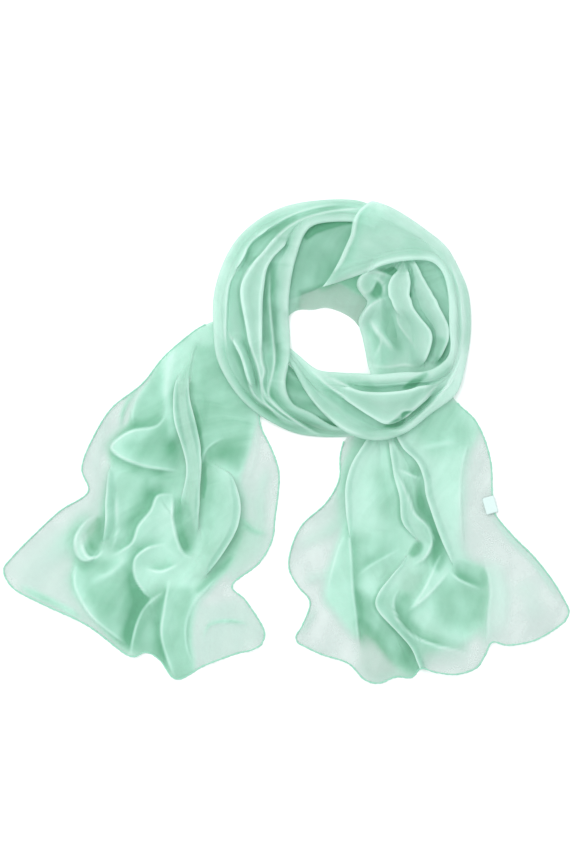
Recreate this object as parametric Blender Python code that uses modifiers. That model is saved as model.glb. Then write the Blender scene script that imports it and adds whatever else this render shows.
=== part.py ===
"""Chiffon scarf laid on a table as if round a neck: a wound ring with two tails.

The cloth is one length, 1600 x 500 mm. It is built as the stretches that show,
each a thin wall lofted through sections across it and pleated along its folds,
over one rounded core that stands for the turns hidden in the ring.
Tables are in millimetres, +Z up from the table; the mesh is in metres.
"""

import math

import bmesh
import bpy
import numpy as np

WALL = 1.0  # mm, thickness of every cloth wall
PLY = 2.7  # mm, from one layer of a pleat to the next
REST = WALL / 2  # mm, middle of a wall that lies on the table
NOSE = 1.3  # mm, how far a fold's rounded nose runs
CLEARANCE = 0.3  # mm, between a piece and what it lies on
PRESSED = 0.42  # share by which the ring's weight flattens the tails' folds under it
MM = 0.001

LABEL_MIDDLE = (205, -65)
LABEL_LONG, LABEL_SHORT, LABEL_THICK = 17.0, 12.0, 0.8  # mm
LABEL_TURN = 16.0  # deg from +Y

ROUGHNESS = 0.6
DEEP_MINT = (0.30, 0.62, 0.50)
RING_MINT = (0.45, 0.80, 0.66)
TAIL_MINT = (0.55, 0.85, 0.74)
LABEL_WHITE = (0.93, 0.97, 0.97)

# ---------------------------------------------------------------- ring form
# The ring's outline round the middle of the neck opening.
RING_CENTRE = (43, 102)
# bearing (deg), outer radius, opening radius, crown height over the table,
# inner radius of the hidden turns
RING = (
    (0, 141, 35, 13, 50),
    (20, 147, 35, 13, 57),
    (40, 149, 31, 13, 68),
    (60, 145, 29, 11, 89),
    (80, 140, 29, 9, 66),
    (100, 138, 30, 8.5, 51),
    (120, 138, 33, 10.5, 50),
    (140, 131, 42, 13, 55),
    (160, 122, 41, 14, 54),
    (180, 114, 38, 14, 51),
    (200, 111, 37, 14, 50),
    (220, 104, 34, 14, 47),
    (240, 103, 33, 14, 46),
    (260, 99, 33, 14, 46),
    (280, 104, 34, 14, 47),
    (300, 118, 36, 14, 51),
    (320, 125, 42, 13.5, 60),
    (340, 139, 39, 13, 57),
)
CORE_INSET = 12.0  # mm, the hidden turns stop this far inside the ring's outline
CORE_DROP = 2.0  # mm, the hidden turns lie this far under the shown ones


def ring_at(bearing):
    """Outer radius, opening radius, crown height and core radius at a bearing in degrees."""
    step = 360 / len(RING)
    place = (bearing % 360) / step
    low = int(place) % len(RING)
    part = place - int(place)
    rows = [RING[(low + shift) % len(RING)] for shift in (-1, 0, 1, 2)]
    return [catmull([row[column] for row in rows], part) for column in (1, 2, 3, 4)]


def catmull(four, part):
    """A value between the middle two of four, on a smooth curve through them."""
    a, b, c, d = four
    return b + 0.5 * part * (
        c - a + part * (2 * a - 5 * b + 4 * c - d + part * (3 * (b - c) + d - a))
    )


def quarter_round(share):
    """0 at an edge, 1 from where the surface levels out, rounded between."""
    share = min(max(share, 0.0), 1.0)
    return 1 - (1 - share) ** 2


def crown(x, y):
    """Height of the wound ring's top at a place, before the shown folds."""
    dx, dy = x - RING_CENTRE[0], y - RING_CENTRE[1]
    outer, opening, height, _ = ring_at(math.degrees(math.atan2(dy, dx)))
    reach = math.hypot(dx, dy)
    edges = quarter_round((outer - reach) / 30) * quarter_round((reach - opening) / 24)
    return height * edges


# ---------------------------------------------------------------- stretches
# Sections of each stretch, across it from one long edge to the other:
# x, y of the first edge; x, y of the second; lift over the ground;
# height that each edge's roll is seated on.
LEFT_SECTIONS = (
    # first edge (outline), second edge (opening side), lift, seat 1, seat 2
    ((101, 227), (89, 211), -0.5, 0.0, 2.6),
    ((71, 240), (65, 217), 0.0, 0.0, 2.8),
    ((25, 239), (35, 212), 0.5, 0.0, 3.3),
    ((-10, 230), (20, 200), 0.5, 0.0, 3.3),
    ((-40, 210), (13, 183), 0.5, 0.0, 3.3),
    ((-59, 184), (7, 162), 0.5, 0.0, 3.3),
    ((-71, 148), (4, 134), 0.5, 0.0, 0.5),
    ((-72, 112), (5, 106), 0.5, 3.5, 0.5),
    ((-68, 80), (5, 82), 0.5, 4.5, 4.0),
    ((-51, 49), (1, 56), 0.5, 4.5, 4.0),
    ((-29, 27), (8, 37), 1.5, 4.0, 4.0),
    ((6, 8), (27, 27), 2.0, 0.5, 4.0),
    ((35, 3), (47, 15), 1.0, 0.0, 2.0),
    ((60, 3), (65, 12), 0.0, 0.3, 0.0),
)
# fold, which way its nose points, tuck (mm), rise (mm), places along it
LEFT_FOLDS = (
    ("outer band inner edge", +1, 9, 7.5,
     ((67, 237), (35, 233), (7, 224), (-23, 205), (-42, 176), (-55, 153), (-57, 113), (-58, 102))),
    ("lower outer fold", -1, 9, 7.5,
     ((-55, 102), (-44, 81), (-35, 50), (-22, 36), (1, 20), (20, 12))),
    ("second band outer edge", -1, 10, 7.5,
     ((7, 214), (-9, 202), (-30, 180), (-44, 155), (-41, 120), (-31, 78), (-20, 44), (-13, 36))),
    ("second band inner edge", +1, 10, 8.0,
     ((-15, 184), (-19, 163), (-22, 133), (-22, 83), (-20, 69), (-20, 50), (-11, 33), (10, 17))),
    ("third band inner edge", +1, 8, 6.8,
     ((-1, 188), (-7, 172), (-10, 140), (-9, 116), (-7, 86), (-10, 65), (-13, 50), (-6, 35),
      (13, 20), (39, 5))),
)

FRONT_SECTIONS = (
    # first edge (outline), second edge (opening side), lift, seat 1, seat 2
    ((5, 77), (12, 87), 0.0, 0.3, 0.3),
    ((21, 47), (32, 71), 0.5, 0.5, 0.3),
    ((41, 23), (53, 68), 0.5, 0.5, 0.3),
    ((65, 5), (72, 67), 1.0, 9.0, 3.0),
    ((92, -1), (94, 66), 2.5, 8.5, 8.0),
    ((119, 6), (117, 68), 3.5, 8.5, 7.5),
    ((146, 26), (140, 69), 3.5, 7.0, 7.5),
    ((171, 46), (156, 77), 3.5, 5.5, 7.0),
    ((181, 76), (164, 90), 3.0, 0.5, 6.5),
    ((186, 110), (163, 115), 3.0, 0.0, 6.5),
    ((184, 145), (162, 143), 3.0, 0.0, 6.5),
    ((175, 170), (157, 165), 4.0, 0.0, 7.5),
    ((161, 194), (145, 177), 6.0, 0.0, 9.5),
    ((140, 211), (123, 178), 7.0, 0.0, 10.5),
    ((120, 225), (100, 174), 9.0, 0.5, 11.5),
    ((103, 234), (77, 165), 10.5, 5.0, 11.5),
    ((89, 238), (56, 158), 10.0, 12.5, 9.5),
    ((84, 237), (37, 152), 10.0, 14.0, 9.5),
)
FRONT_FOLDS = (
    ("cowl outer edge", -1, 12, 8.5,
     ((19, 74), (39, 55), (55, 43), (71, 32), (85, 23), (101, 16), (117, 23), (131, 32), (146, 44),
      (161, 56), (172, 70), (178, 85))),
    ("cowl inner edge", +1, 12, 8.5,
     ((33, 66), (57, 58), (72, 50), (92, 48), (112, 49), (128, 52), (139, 58), (152, 69), (163, 79),
      (171, 90))),
)

INNER_SECTIONS = (
    # first edge (opening side), second edge (under the right side), lift, seats
    ((98, 179), (153, 184), 0.3, 1.0, 0.0),
    ((86, 169), (161, 171), 0.3, 1.9, 0.0),
    ((77, 157), (166, 156), 0.2, 1.0, 0.0),
    ((77, 142), (169, 138), 0.2, 0.3, 0.0),
    ((76, 123), (170, 120), 0.2, 0.0, 0.0),
    ((79, 104), (169, 102), 0.2, 0.0, 0.0),
    ((81, 90), (163, 87), 0.2, 0.0, 0.0),
    ((83, 78), (157, 76), 0.0, 0.0, 0.0),
    ((87, 69), (149, 67), 0.0, 0.0, 0.0),
)
INNER_FOLDS = (
    ("opening petal", +1, 7, 6.5,
     ((91, 138), (85, 122), (93, 104), (103, 90), (111, 80))),
    ("leaf petal left edge", -1, 8, 7.5,
     ((117, 178), (109, 166), (103, 156), (103, 142), (110, 126), (117, 112))),
    ("leaf petal right edge", +1, 8, 8.0,
     ((120, 178), (124, 164), (125, 150), (127, 136), (137, 119), (147, 104), (146, 90), (139, 76))),
    ("outer petal edge", +1, 9, 7.5,
     ((129, 180), (134, 168), (143, 156), (150, 142), (158, 125), (163, 108), (161, 90), (152, 74))),
)

BACK_SECTIONS = (
    # first edge (left, under the left turn), second edge (right), lift, seats
    ((33, 216), (79, 220), 0.2, 0, 0),
    ((17, 202), (75, 203), 0.2, 0, 0),
    ((8, 184), (73, 184), 0.2, 0, 0),
    ((4, 167), (65, 168), 0.0, 0, 0),
    ((5, 152), (61, 154), 0.0, 0, 0),
    ((11, 141), (66, 138), 0.0, 0, 0),
    ((17, 132), (70, 120), 0.0, 0, 0),
)

LEFT_TAIL_SECTIONS = (
    # first selvedge, second selvedge, lift, seats
    ((-68, 120), (-24, 31), 3.0, 0, 0),
    ((-89, 110), (-26, 23), 2.2, 0, 0),
    ((-120, 84), (-23, 10), 0.5, 0, 0),
    ((-143, 56), (-16, -4), 0.5, 0, 0),
    ((-173, 32), (-10, -18), 0.5, 0, 0),
    ((-192, 2), (-6, -34), 0.5, 0, 0),
    ((-203, -28), (-7, -54), 0.5, 0, 0),
    ((-197, -52), (-10, -76), 0.5, 0, 0),
    ((-225, -71), (-13, -100), 0.5, 0, 0),
    ((-252, -96), (-27, -124), 0.5, 0, 0),
    ((-267, -111), (-53, -145), 0.5, 0, 0),
    ((-277, -123), (-39, -162), 0.5, 0, 0),
    ((-282, -130), (-18, -201), 0.5, 0, 0),
)
LEFT_TAIL_HEAD = ((-68, 120), (-65, 100), (-61, 82), (-54, 67), (-44, 53), (-34, 42), (-24, 31))
LEFT_TAIL_HEM = ((-282, -130), (-271, -150), (-238, -166), (-198, -185), (-157, -215), (-139, -212),
    (-125, -220),
                 (-108, -239), (-80, -225), (-50, -214), (-18, -201))
LEFT_TAIL_FOLDS = (
    ("left flare", -1, 6, 5.2,
     ((-197, -65), (-203, -92), (-205, -120), (-200, -150), (-185, -177), (-158, -206))),
    ("leaf fold", -1, 16, 8.5,
     ((-125, 74), (-145, 35), (-169, 0), (-177, -30), (-181, -60), (-185, -95), (-187, -120))),
    ("centre petal", -1, 18, 8.5,
     ((-113, 68), (-117, 35), (-121, 10), (-127, -28), (-137, -65), (-147, -95), (-152, -130),
      (-151, -175), (-154, -210))),
    ("middle ridge", -1, 16, 9.0,
     ((-89, 88), (-91, 40), (-95, 4), (-100, -25), (-105, -60), (-109, -100), (-119, -145),
      (-124, -185), (-119, -222))),
    ("long pale band", -1, 14, 8.5,
     ((-69, 72), (-79, 30), (-82, 0), (-80, -28), (-81, -60), (-86, -95), (-95, -125))),
    ("right fold", +1, 20, 9.0,
     ((-49, 42), (-53, 0), (-49, -40), (-44, -72), (-53, -100), (-69, -135), (-85, -162),
      (-95, -192), (-95, -225))),
)

RIGHT_TAIL_SECTIONS = (
    # first selvedge, second selvedge, lift, seats
    ((62, 3), (167, 44), 2.0, 0, 0),
    ((58, -4), (175, 34), 1.4, 0, 0),
    ((55, -18), (189, 21), 0.5, 0, 0),
    ((54, -40), (199, 2), 0.5, 0, 0),
    ((41, -63), (206, -24), 0.5, 0, 0),
    ((18, -84), (207, -50), 0.5, 0, 0),
    ((7, -106), (209, -72), 0.5, 0, 0),
    ((4, -128), (227, -95), 0.5, 0, 0),
    ((13, -146), (249, -117), 0.5, 0, 0),
    ((25, -162), (267, -140), 0.5, 0, 0),
    ((19, -182), (278, -160), 0.5, 0, 0),
    ((9, -200), (283, -178), 0.5, 0, 0),
)
RIGHT_TAIL_HEAD = ((62, 3), (77, 4), (93, 3), (107, 7), (120, 13), (133, 23), (145, 32), (156, 38),
    (167, 44))
RIGHT_TAIL_HEM = ((9, -200), (36, -214), (63, -223), (79, -239), (94, -243), (110, -237), (127, -237),
                  (136, -228), (151, -232), (172, -234), (191, -228), (200, -215), (207, -202),
                   (223, -205),
                  (247, -201), (283, -178))
RIGHT_TAIL_FOLDS = (
    ("left column", -1, 14, 8.0,
     ((81, 10), (69, -17), (60, -38), (60, -60), (62, -85))),
    ("left wedge", +1, 14, 8.0,
     ((65, -80), (67, -108), (70, -136), (72, -165), (73, -190), (75, -212))),
    ("ribbon left edge", -1, 16, 9.0,
     ((100, 10), (104, -18), (113, -45), (117, -70), (119, -100), (109, -126), (93, -148),
      (91, -172), (111, -196), (127, -222))),
    ("ribbon right edge", -1, 14, 9.0,
     ((115, 15), (129, -13), (138, -35), (143, -65), (153, -95), (161, -122), (149, -150),
      (139, -166))),
    ("right column", -1, 16, 7.2,
     ((194, -98), (197, -110), (201, -125), (205, -150), (203, -175), (203, -205))),
)


def ease(share):
    share = min(max(share, 0.0), 1.0)
    return share * share * (3 - 2 * share)


def between(values, place):
    """Smooth value at a place counted in table rows."""
    low = min(int(place), len(values) - 2)
    part = place - low
    four = [values[min(max(low + shift, 0), len(values) - 1)] for shift in (-1, 0, 1, 2)]
    return catmull(four, part)


def curve(places, count):
    """Evenly counted points on a smooth curve through a few places."""
    steps = [i * (len(places) - 1) / (count - 1) for i in range(count)]
    return [
        (between([p[0] for p in places], s), between([p[1] for p in places], s))
        for s in steps
    ]


class Stretch:
    """A length of cloth lofted through sections, with its folds laid along it."""

    def __init__(self, sections, folds, rows, bed=None, ends=None, pressed=0.0, fade=1.6):
        self.sections, self.folds, self.rows, self.ends = sections, folds, rows, ends
        self.lines = [np.array(curve(fold[4], 160)) for fold in folds]
        last = len(sections) - 1
        self.steps = [last * i / (rows - 1) for i in range(rows)]
        self.widths = [self.width(step) for step in self.steps]
        self.fade = fade * (rows - 1) / last
        self.bed, self.pressed = bed, pressed
        self.crossings = [self.crossings_of(line) for line in self.lines]

    def edge(self, step, column):
        return np.array(
            [between([row[column][axis] for row in self.sections], step) for axis in (0, 1)]
        )

    def value(self, step, column):
        return between([row[column] for row in self.sections], step)

    def place(self, step, share):
        """Where a share of the way across the section at this step is, seen from above."""
        point = (1 - share) * self.edge(step, 0) + share * self.edge(step, 1)
        if self.ends:
            last = len(self.sections) - 1
            share = min(max(share, 0.0), 1.0)
            for end, border in zip((0, last), self.ends):
                away = abs(step - end) / (0.5 * last)
                bent = ease(1 - away) ** 1.5
                along = share * (len(border) - 1)
                rim = np.array([between([p[axis] for p in border], along) for axis in (0, 1)])
                chord = (1 - share) * self.edge(end, 0) + share * self.edge(end, 1)
                point = point + bent * (rim - chord)
        return point

    def width(self, step):
        return float(np.hypot(*(self.edge(step, 1) - self.edge(step, 0))))

    def crossings_of(self, line):
        """(share across, strength) of one fold at every row."""
        shares = np.linspace(0, 1, 121)
        found = []
        for step in self.steps:
            across = np.array([self.place(step, share) for share in shares])
            gaps = np.hypot(
                across[:, None, 0] - line[None, :, 0], across[:, None, 1] - line[None, :, 1]
            )
            row, _ = np.unravel_index(np.argmin(gaps), gaps.shape)
            found.append(shares[row] if gaps.min() < 2.2 else None)
        hits = [i for i, share in enumerate(found) if share is not None]
        first, final = hits[0], hits[-1]
        result = []
        for i in range(self.rows):
            near = min(hits, key=lambda hit: abs(hit - i))
            strength = 1.0
            if first > 0:
                strength = min(strength, (i - first + 0.4) / self.fade)
            if final < self.rows - 1:
                strength = min(strength, (final - i + 0.4) / self.fade)
            result.append((found[near], max(strength, 0.0)))
        return result

    def profile(self, row, ground, edges, mids):
        """Points of one row: the cloth's path across its section, folds and all."""
        step, width = self.steps[row], self.widths[row]
        lift = self.value(step, 2)
        starts = min(9.0, width / 3) if edges[0] else 0.0
        stops = width - (min(9.0, width / 3) if edges[1] else 0.0)
        least = min(7.0, 0.9 * (stops - starts) / (len(self.folds) + 1))
        places = [crossing[row][0] * width for crossing in self.crossings]
        for k in range(len(places)):
            places[k] = max(places[k], (places[k - 1] if k else starts) + least)
        for k in reversed(range(len(places))):
            after = places[k + 1] if k + 1 < len(places) else stops
            places[k] = min(places[k], after - least)
        bound = [starts] + places + [stops]
        sides = [0] + [fold[1] for fold in self.folds] + [0]
        flat = 1.0 - self.pressed * ease(1 - step / 2.2)
        path = self.edge_path(step, width, 0, edges[0])  # (across, height, on the ground)
        for k, (fold, crossing) in enumerate(zip(self.folds, self.crossings), start=1):
            side, strength = fold[1], crossing[row][1]
            before, beyond = (k + 1, k - 1) if side > 0 else (k - 1, k + 1)
            valley = min(2.6, 0.25 * abs(bound[before] - bound[k]))
            gap = abs(bound[beyond] - bound[k])
            roof = 0.47 * gap if sides[beyond] == -side else gap - (3.8 if sides[beyond] else 1.5)
            roof = max(roof, 0.3 * gap)
            tuck = min(fold[2], roof - 2.5)
            rise = fold[3] * ease(2.2 * strength) * ease((least - 1.2) / 2.6)
            if tuck < 1.6:
                span = 0.6 * valley + 0.4 * min(7.0, roof)
                rise = min(rise, 1.1 * span * min(1.0, span / 3.2))
            sound = tuck > 1.6 and rise > 2.15 * PLY
            turned = ease((strength - 0.45) / 0.5) if sound else 0.0
            ply = PLY if sound else 0.34 * rise
            tuck = max(tuck, 0.0)
            slack = min(7.0, roof)
            loose = (-valley, -0.6 * valley, -0.25 * valley, 0.1 * slack, 0.25 * slack, 0.4 * slack, slack)
            tight = (-min(valley, 2.0), tuck, tuck, NOSE, 0.0, NOSE, tuck + 2.5)
            heights = (0.0, 0.0, ply, rise - ply, rise - ply / 2, rise, max(0.86 * rise, 2.05 * ply))
            shape = [
                ((1 - turned) * a + turned * b, height)
                for a, b, height in zip(loose, tight, heights)
            ]
            if side > 0:
                shape = [(-across, height) for across, height in reversed(shape)]
            path += [(places[k - 1] + across, height, True) for across, height in shape]
        path += self.edge_path(step, width, 1, edges[1])
        opens = self.open_spans(edges)
        first, final = path[opens[0]], path[opens[-1] + 1]
        narrow = ease((3.8 - least) / 2.4) if edges[0] and edges[1] else 0.0

        def floor(across):
            """The ground here, or the bridge between two rolled edges that nearly meet."""
            x, y = self.place(step, across / width)
            low = lift + ground(x, y)
            share = (across - first[0]) / (final[0] - first[0])
            return low + narrow * max(first[1] + (final[1] - first[1]) * share - low, 0.0)

        out = []
        for k, (across, height, grounded) in enumerate(path):
            x, y = self.place(step, across / width)
            out.append((x, y, height * flat + (floor(across) if grounded else 0.0)))
            if k in opens:
                a, b = across, path[k + 1][0]
                ends = []
                for place, high, held in (path[k], path[k + 1]):
                    ends.append(high * flat if held else high - floor(place))
                for m in range(1, mids + 1):
                    share = m / (mids + 1)
                    x, y = self.place(step, (a + (b - a) * share) / width)
                    puff = min(2.0, 0.05 * abs(b - a)) * 4 * share * (1 - share)
                    puff *= flat * (k > 0 and k + 2 < len(path))
                    high = ends[0] + (ends[1] - ends[0]) * share + puff
                    out.append((x, y, floor(a + (b - a) * share) + high))
        return out

    def edge_path(self, step, width, end, roll):
        """A long edge: plain, or rolled under over what it is seated on."""
        if not roll:
            return [(end * width, 0.0, True)]
        under, shoulder = min(6.0, width / 5), min(9.0, width / 3)
        seat = self.value(step, 3 + end)
        if self.bed:
            seat += max(self.bed(*self.place(step, abs(end * width - s) / width)) for s in (0, under))
        high = roll * min(1.0, width / 24)
        path = [(under, seat + 0.7), (1.4, seat + 0.6), (0.0, seat + 0.6 + 0.45 * high),
                (1.6, seat + 0.6 + high)]
        x, y = self.place(step, abs(end * width - shoulder) / width)
        path.append((shoulder, max(seat + 0.6 + 0.9 * high, crown(x, y) + self.value(step, 2))))
        path = [(abs(end * width - s), z, False) for s, z in path]
        return path[::-1] if end else path

    def open_spans(self, edges):
        """Index of the path point before each stretch of cloth between two folds."""
        start = 4 if edges[0] else 0
        return [start + 7 * k for k in range(len(self.folds) + 1)]


def table(x, y):
    """The tails lie on the table itself."""
    return 0.0


def core_top(x, y):
    """Height of the hidden turns at a place, 0 beside them."""
    dx, dy = x - RING_CENTRE[0], y - RING_CENTRE[1]
    outer, _, _, inner = ring_at(math.degrees(math.atan2(dy, dx)))
    reach = math.hypot(dx, dy)
    beside = max(inner - reach, reach - outer + CORE_INSET, 0.0)
    return (max(crown(x, y) - CORE_DROP, 1.5) + 0.6) * ease(1.3 - beside / 6)


def loft(name, rows, colour):
    """A wall through rows of points, as one named object with its own material."""
    mesh = bpy.data.meshes.new(name)
    work = bmesh.new()
    grid = [[work.verts.new([c * MM for c in point]) for point in row] for row in rows]
    for upper, lower in zip(grid, grid[1:]):
        for a, b, c, d in zip(upper, upper[1:], lower[1:], lower):
            work.faces.new((a, b, c, d))
    bmesh.ops.recalc_face_normals(work, faces=work.faces)
    work.to_mesh(mesh)
    work.free()
    item = placed(name, mesh, colour)
    wall = item.modifiers.new("cloth wall", "SOLIDIFY")
    wall.thickness = WALL * MM
    wall.offset = 0.0
    wall.use_rim = True
    return item


def placed(name, mesh, colour):
    """A mesh as a named object in the scarf's collection, with its own material."""
    mesh.shade_smooth()
    item = bpy.data.objects.new(name, mesh)
    SCARF.objects.link(item)
    material = bpy.data.materials.new(name)
    material.use_nodes = True
    shader = material.node_tree.nodes["Principled BSDF"]
    shader.inputs["Base Color"].default_value = (*colour, 1.0)
    shader.inputs["Roughness"].default_value = ROUGHNESS
    shader.inputs["Metallic"].default_value = 0.0
    item.data.materials.append(material)
    return item


def cloth(name, stretch, ground, edges, colour, mids=1):
    """One stretch of the scarf; edges says how high each long edge's roll stands."""
    rows = [stretch.profile(i, ground, edges, mids) for i in range(stretch.rows)]
    rows = [[(x, y, max(z, REST)) for x, y, z in row] for row in rows]
    return loft(name, rows, colour)


def core(name, colour, around=40):
    """The hidden turns: a rounded ring with a flat underside, stepped like layers at its edges."""
    # share of the way from the outer wall to the opening wall
    shares = (0.0, 0.0, 0.06, 0.16, 0.3, 0.5, 0.7, 0.84, 0.94, 1.0, 1.0)
    work = bmesh.new()
    loops = []
    for i in range(around):
        bearing = 360 * i / around
        outer, _, _, inner = ring_at(bearing)
        outer -= CORE_INSET
        sweep = math.radians(bearing)
        loop = []
        for k, share in enumerate(shares):
            reach = outer + (inner - outer) * share
            x = RING_CENTRE[0] + reach * math.cos(sweep)
            y = RING_CENTRE[1] + reach * math.sin(sweep)
            z = 0.0 if k in (0, len(shares) - 1) else max(crown(x, y) - CORE_DROP, 1.5)
            loop.append(work.verts.new((x * MM, y * MM, z * MM)))
        loops.append(loop)
    for i, loop in enumerate(loops):
        after = loops[(i + 1) % around]
        for k in range(len(shares)):
            m = (k + 1) % len(shares)
            work.faces.new((loop[k], after[k], after[m], loop[m]))
    bmesh.ops.recalc_face_normals(work, faces=work.faces)
    mesh = bpy.data.meshes.new(name)
    work.to_mesh(mesh)
    work.free()
    return placed(name, mesh, colour)


def label(name, colour):
    """The small blank care label: a flat tab lying on the right tail, just inside its selvedge."""
    mesh = bpy.data.meshes.new(name)
    work = bmesh.new()
    bmesh.ops.create_cube(work, size=1.0)
    bmesh.ops.scale(work, vec=(LABEL_SHORT * MM, LABEL_LONG * MM, LABEL_THICK * MM), verts=work.verts)
    work.to_mesh(mesh)
    work.free()
    item = placed(name, mesh, colour)
    mesh.shade_flat()
    middle_height = WALL + CLEARANCE + LABEL_THICK / 2
    item.location = (LABEL_MIDDLE[0] * MM, LABEL_MIDDLE[1] * MM, middle_height * MM)
    item.rotation_euler = (0, 0, math.radians(LABEL_TURN))
    return item


for item in list(bpy.data.objects):
    bpy.data.objects.remove(item, do_unlink=True)
SCARF = bpy.data.collections.new("chiffon_scarf")
bpy.context.scene.collection.children.link(SCARF)

core("wound_core", DEEP_MINT)
turn_left = Stretch(LEFT_SECTIONS, LEFT_FOLDS, rows=18, bed=core_top)
cloth("turn_left", turn_left, crown, (5.0, 5.0), RING_MINT)
turn_front = Stretch(FRONT_SECTIONS, FRONT_FOLDS, rows=25, bed=core_top)
cloth("turn_front", turn_front, crown, (5.0, 4.0), RING_MINT)
turn_inner = Stretch(INNER_SECTIONS, INNER_FOLDS, rows=12, bed=core_top)
cloth("turn_inner", turn_inner, crown, (4.0, 0.0), RING_MINT)
turn_back = Stretch(BACK_SECTIONS, (), rows=7, bed=core_top)
cloth("turn_back", turn_back, crown, (0.0, 0.0), DEEP_MINT, mids=6)
left_ends = (LEFT_TAIL_HEAD, LEFT_TAIL_HEM)
tail_left = Stretch(LEFT_TAIL_SECTIONS, LEFT_TAIL_FOLDS, rows=17, ends=left_ends, pressed=PRESSED)
cloth("tail_left", tail_left, table, (0.0, 0.0), TAIL_MINT)
right_ends = (RIGHT_TAIL_HEAD, RIGHT_TAIL_HEM)
tail_right = Stretch(RIGHT_TAIL_SECTIONS, RIGHT_TAIL_FOLDS, rows=17, ends=right_ends, pressed=PRESSED)
cloth("tail_right", tail_right, table, (0.0, 0.0), TAIL_MINT)
label("care_label", LABEL_WHITE)
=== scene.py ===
"""Chiffon scarf laid on a white table as if round a neck: a wound ring with two tails.

The scarf is one length of mint crepe chiffon. Each stretch that shows is a thin
sheet, lofted through sections across it and pleated along its folds; the turns
hidden in the ring share one rounded heap. Lengths in the tables are millimetres,
seen from above, with +Z up from the table; meshes are in metres.
"""

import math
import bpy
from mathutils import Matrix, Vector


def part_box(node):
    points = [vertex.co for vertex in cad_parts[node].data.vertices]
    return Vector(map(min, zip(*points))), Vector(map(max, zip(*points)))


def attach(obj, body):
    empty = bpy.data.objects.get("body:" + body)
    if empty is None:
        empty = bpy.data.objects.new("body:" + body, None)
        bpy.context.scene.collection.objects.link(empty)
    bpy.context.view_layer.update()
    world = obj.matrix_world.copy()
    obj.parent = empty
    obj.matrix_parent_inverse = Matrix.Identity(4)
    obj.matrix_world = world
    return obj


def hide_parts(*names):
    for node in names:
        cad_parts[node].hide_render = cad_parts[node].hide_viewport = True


bl_info = {
    "name": "Chiffon Scarf",
    "version": (1, 0, 0),
    "blender": (4, 5, 0),
    "location": "View3D > Sidebar > Scarf",
    "description": "Builds a wound chiffon scarf with two tails, its hems, label and stage",
    "category": "Object",
}

import bpy
import numpy as np
from mathutils import Vector

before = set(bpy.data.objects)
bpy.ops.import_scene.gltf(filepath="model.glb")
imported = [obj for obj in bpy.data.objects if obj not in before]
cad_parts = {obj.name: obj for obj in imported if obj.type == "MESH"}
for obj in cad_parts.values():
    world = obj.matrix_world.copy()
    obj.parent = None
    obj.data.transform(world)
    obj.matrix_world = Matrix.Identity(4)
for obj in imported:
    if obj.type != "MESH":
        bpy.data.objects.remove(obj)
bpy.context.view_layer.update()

MM = 0.001
ROOT = "root"

# how the cloth lies, in mm
PLY = 2.5  # from one layer of a pleat to the next
NOSE = 1.2  # how far a fold's rounded nose runs
CLEAR = 0.4  # the cloth comes no nearer to the table than this
CORE_INSET = 12.0  # the hidden turns stop this far inside the ring's outline
CORE_DROP = 2.0  # and lie this far under the shown ones
OUTER_SHOULDER = 30.0  # the ring's top rounds down over this width to its outline
INNER_SHOULDER = 24.0  # and over this one to its opening

VALLEY = 3.2  # the most that a fold's valley reaches before it
EDGE_BAND = 9.0  # the most that a rolled edge takes of the width
SEAT_GAP = 0.6  # from what an edge is seated on to the edge's lowest place
HEM_STEP = 1.6  # from one ring of a hem's tube to the next

# how finely curves and folds are followed
FINE = 30  # steps from one stated place of a curve to the next
RIM_STEPS = 400  # along the outline of a stretch's end
TRACE_COLUMNS = 241  # places across a row where a fold is looked for
SETTLE_ROUNDS = 60  # times that neighbouring folds push each other apart

# ---------------------------------------------------------------- ring form
RING_CENTRE = (43, 102)
# bearing (deg), outer radius, opening radius, crown height over the table,
# inner radius of the hidden turns
RING = (
    (0, 141, 35, 13, 50),
    (20, 147, 35, 13, 57),
    (40, 149, 31, 13, 68),
    (60, 145, 29, 11, 89),
    (80, 140, 29, 9, 66),
    (100, 138, 30, 8.5, 51),
    (120, 138, 33, 10.5, 50),
    (140, 131, 42, 13, 55),
    (160, 122, 41, 14, 54),
    (180, 114, 38, 14, 51),
    (200, 111, 37, 14, 50),
    (220, 104, 34, 14, 47),
    (240, 103, 33, 14, 46),
    (260, 99, 33, 14, 46),
    (280, 104, 34, 14, 47),
    (300, 118, 36, 14, 51),
    (320, 125, 42, 13.5, 60),
    (340, 139, 39, 13, 57),
)

# ---------------------------------------------------------------- stretches
# Sections of each stretch, across it from one long edge to the other:
# x, y of the first edge; x, y of the second; lift over the ground;
# height that each edge's roll is seated on, left out where no edge is rolled.
LEFT_SECTIONS = (
    ((101, 227), (89, 211), -0.5, 0.0, 2.6),
    ((71, 240), (65, 217), 0.0, 0.0, 2.8),
    ((25, 239), (33, 215), 0.5, 0.0, 3.3),
    ((-10, 230), (20, 205), 0.5, 0.0, 3.3),
    ((-40, 210), (12, 183), 0.5, 0.0, 3.3),
    ((-59, 184), (7, 162), 0.5, 0.0, 3.3),
    ((-71, 148), (4, 134), 0.5, 0.0, 0.5),
    ((-72, 112), (5, 106), 0.5, 3.5, 0.5),
    ((-68, 80), (5, 82), 0.5, 4.5, 4.0),
    ((-51, 49), (1, 56), 0.5, 4.5, 4.0),
    ((-29, 27), (8, 37), 1.5, 4.0, 4.0),
    ((6, 8), (27, 27), 2.0, 0.5, 4.0),
    ((35, 3), (47, 15), 1.0, 0.0, 2.0),
    ((60, 3), (65, 12), 0.0, 0.3, 0.0),
    ((79, 5), (82, 12), -0.5, 0.3, 0.0),
)
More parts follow.
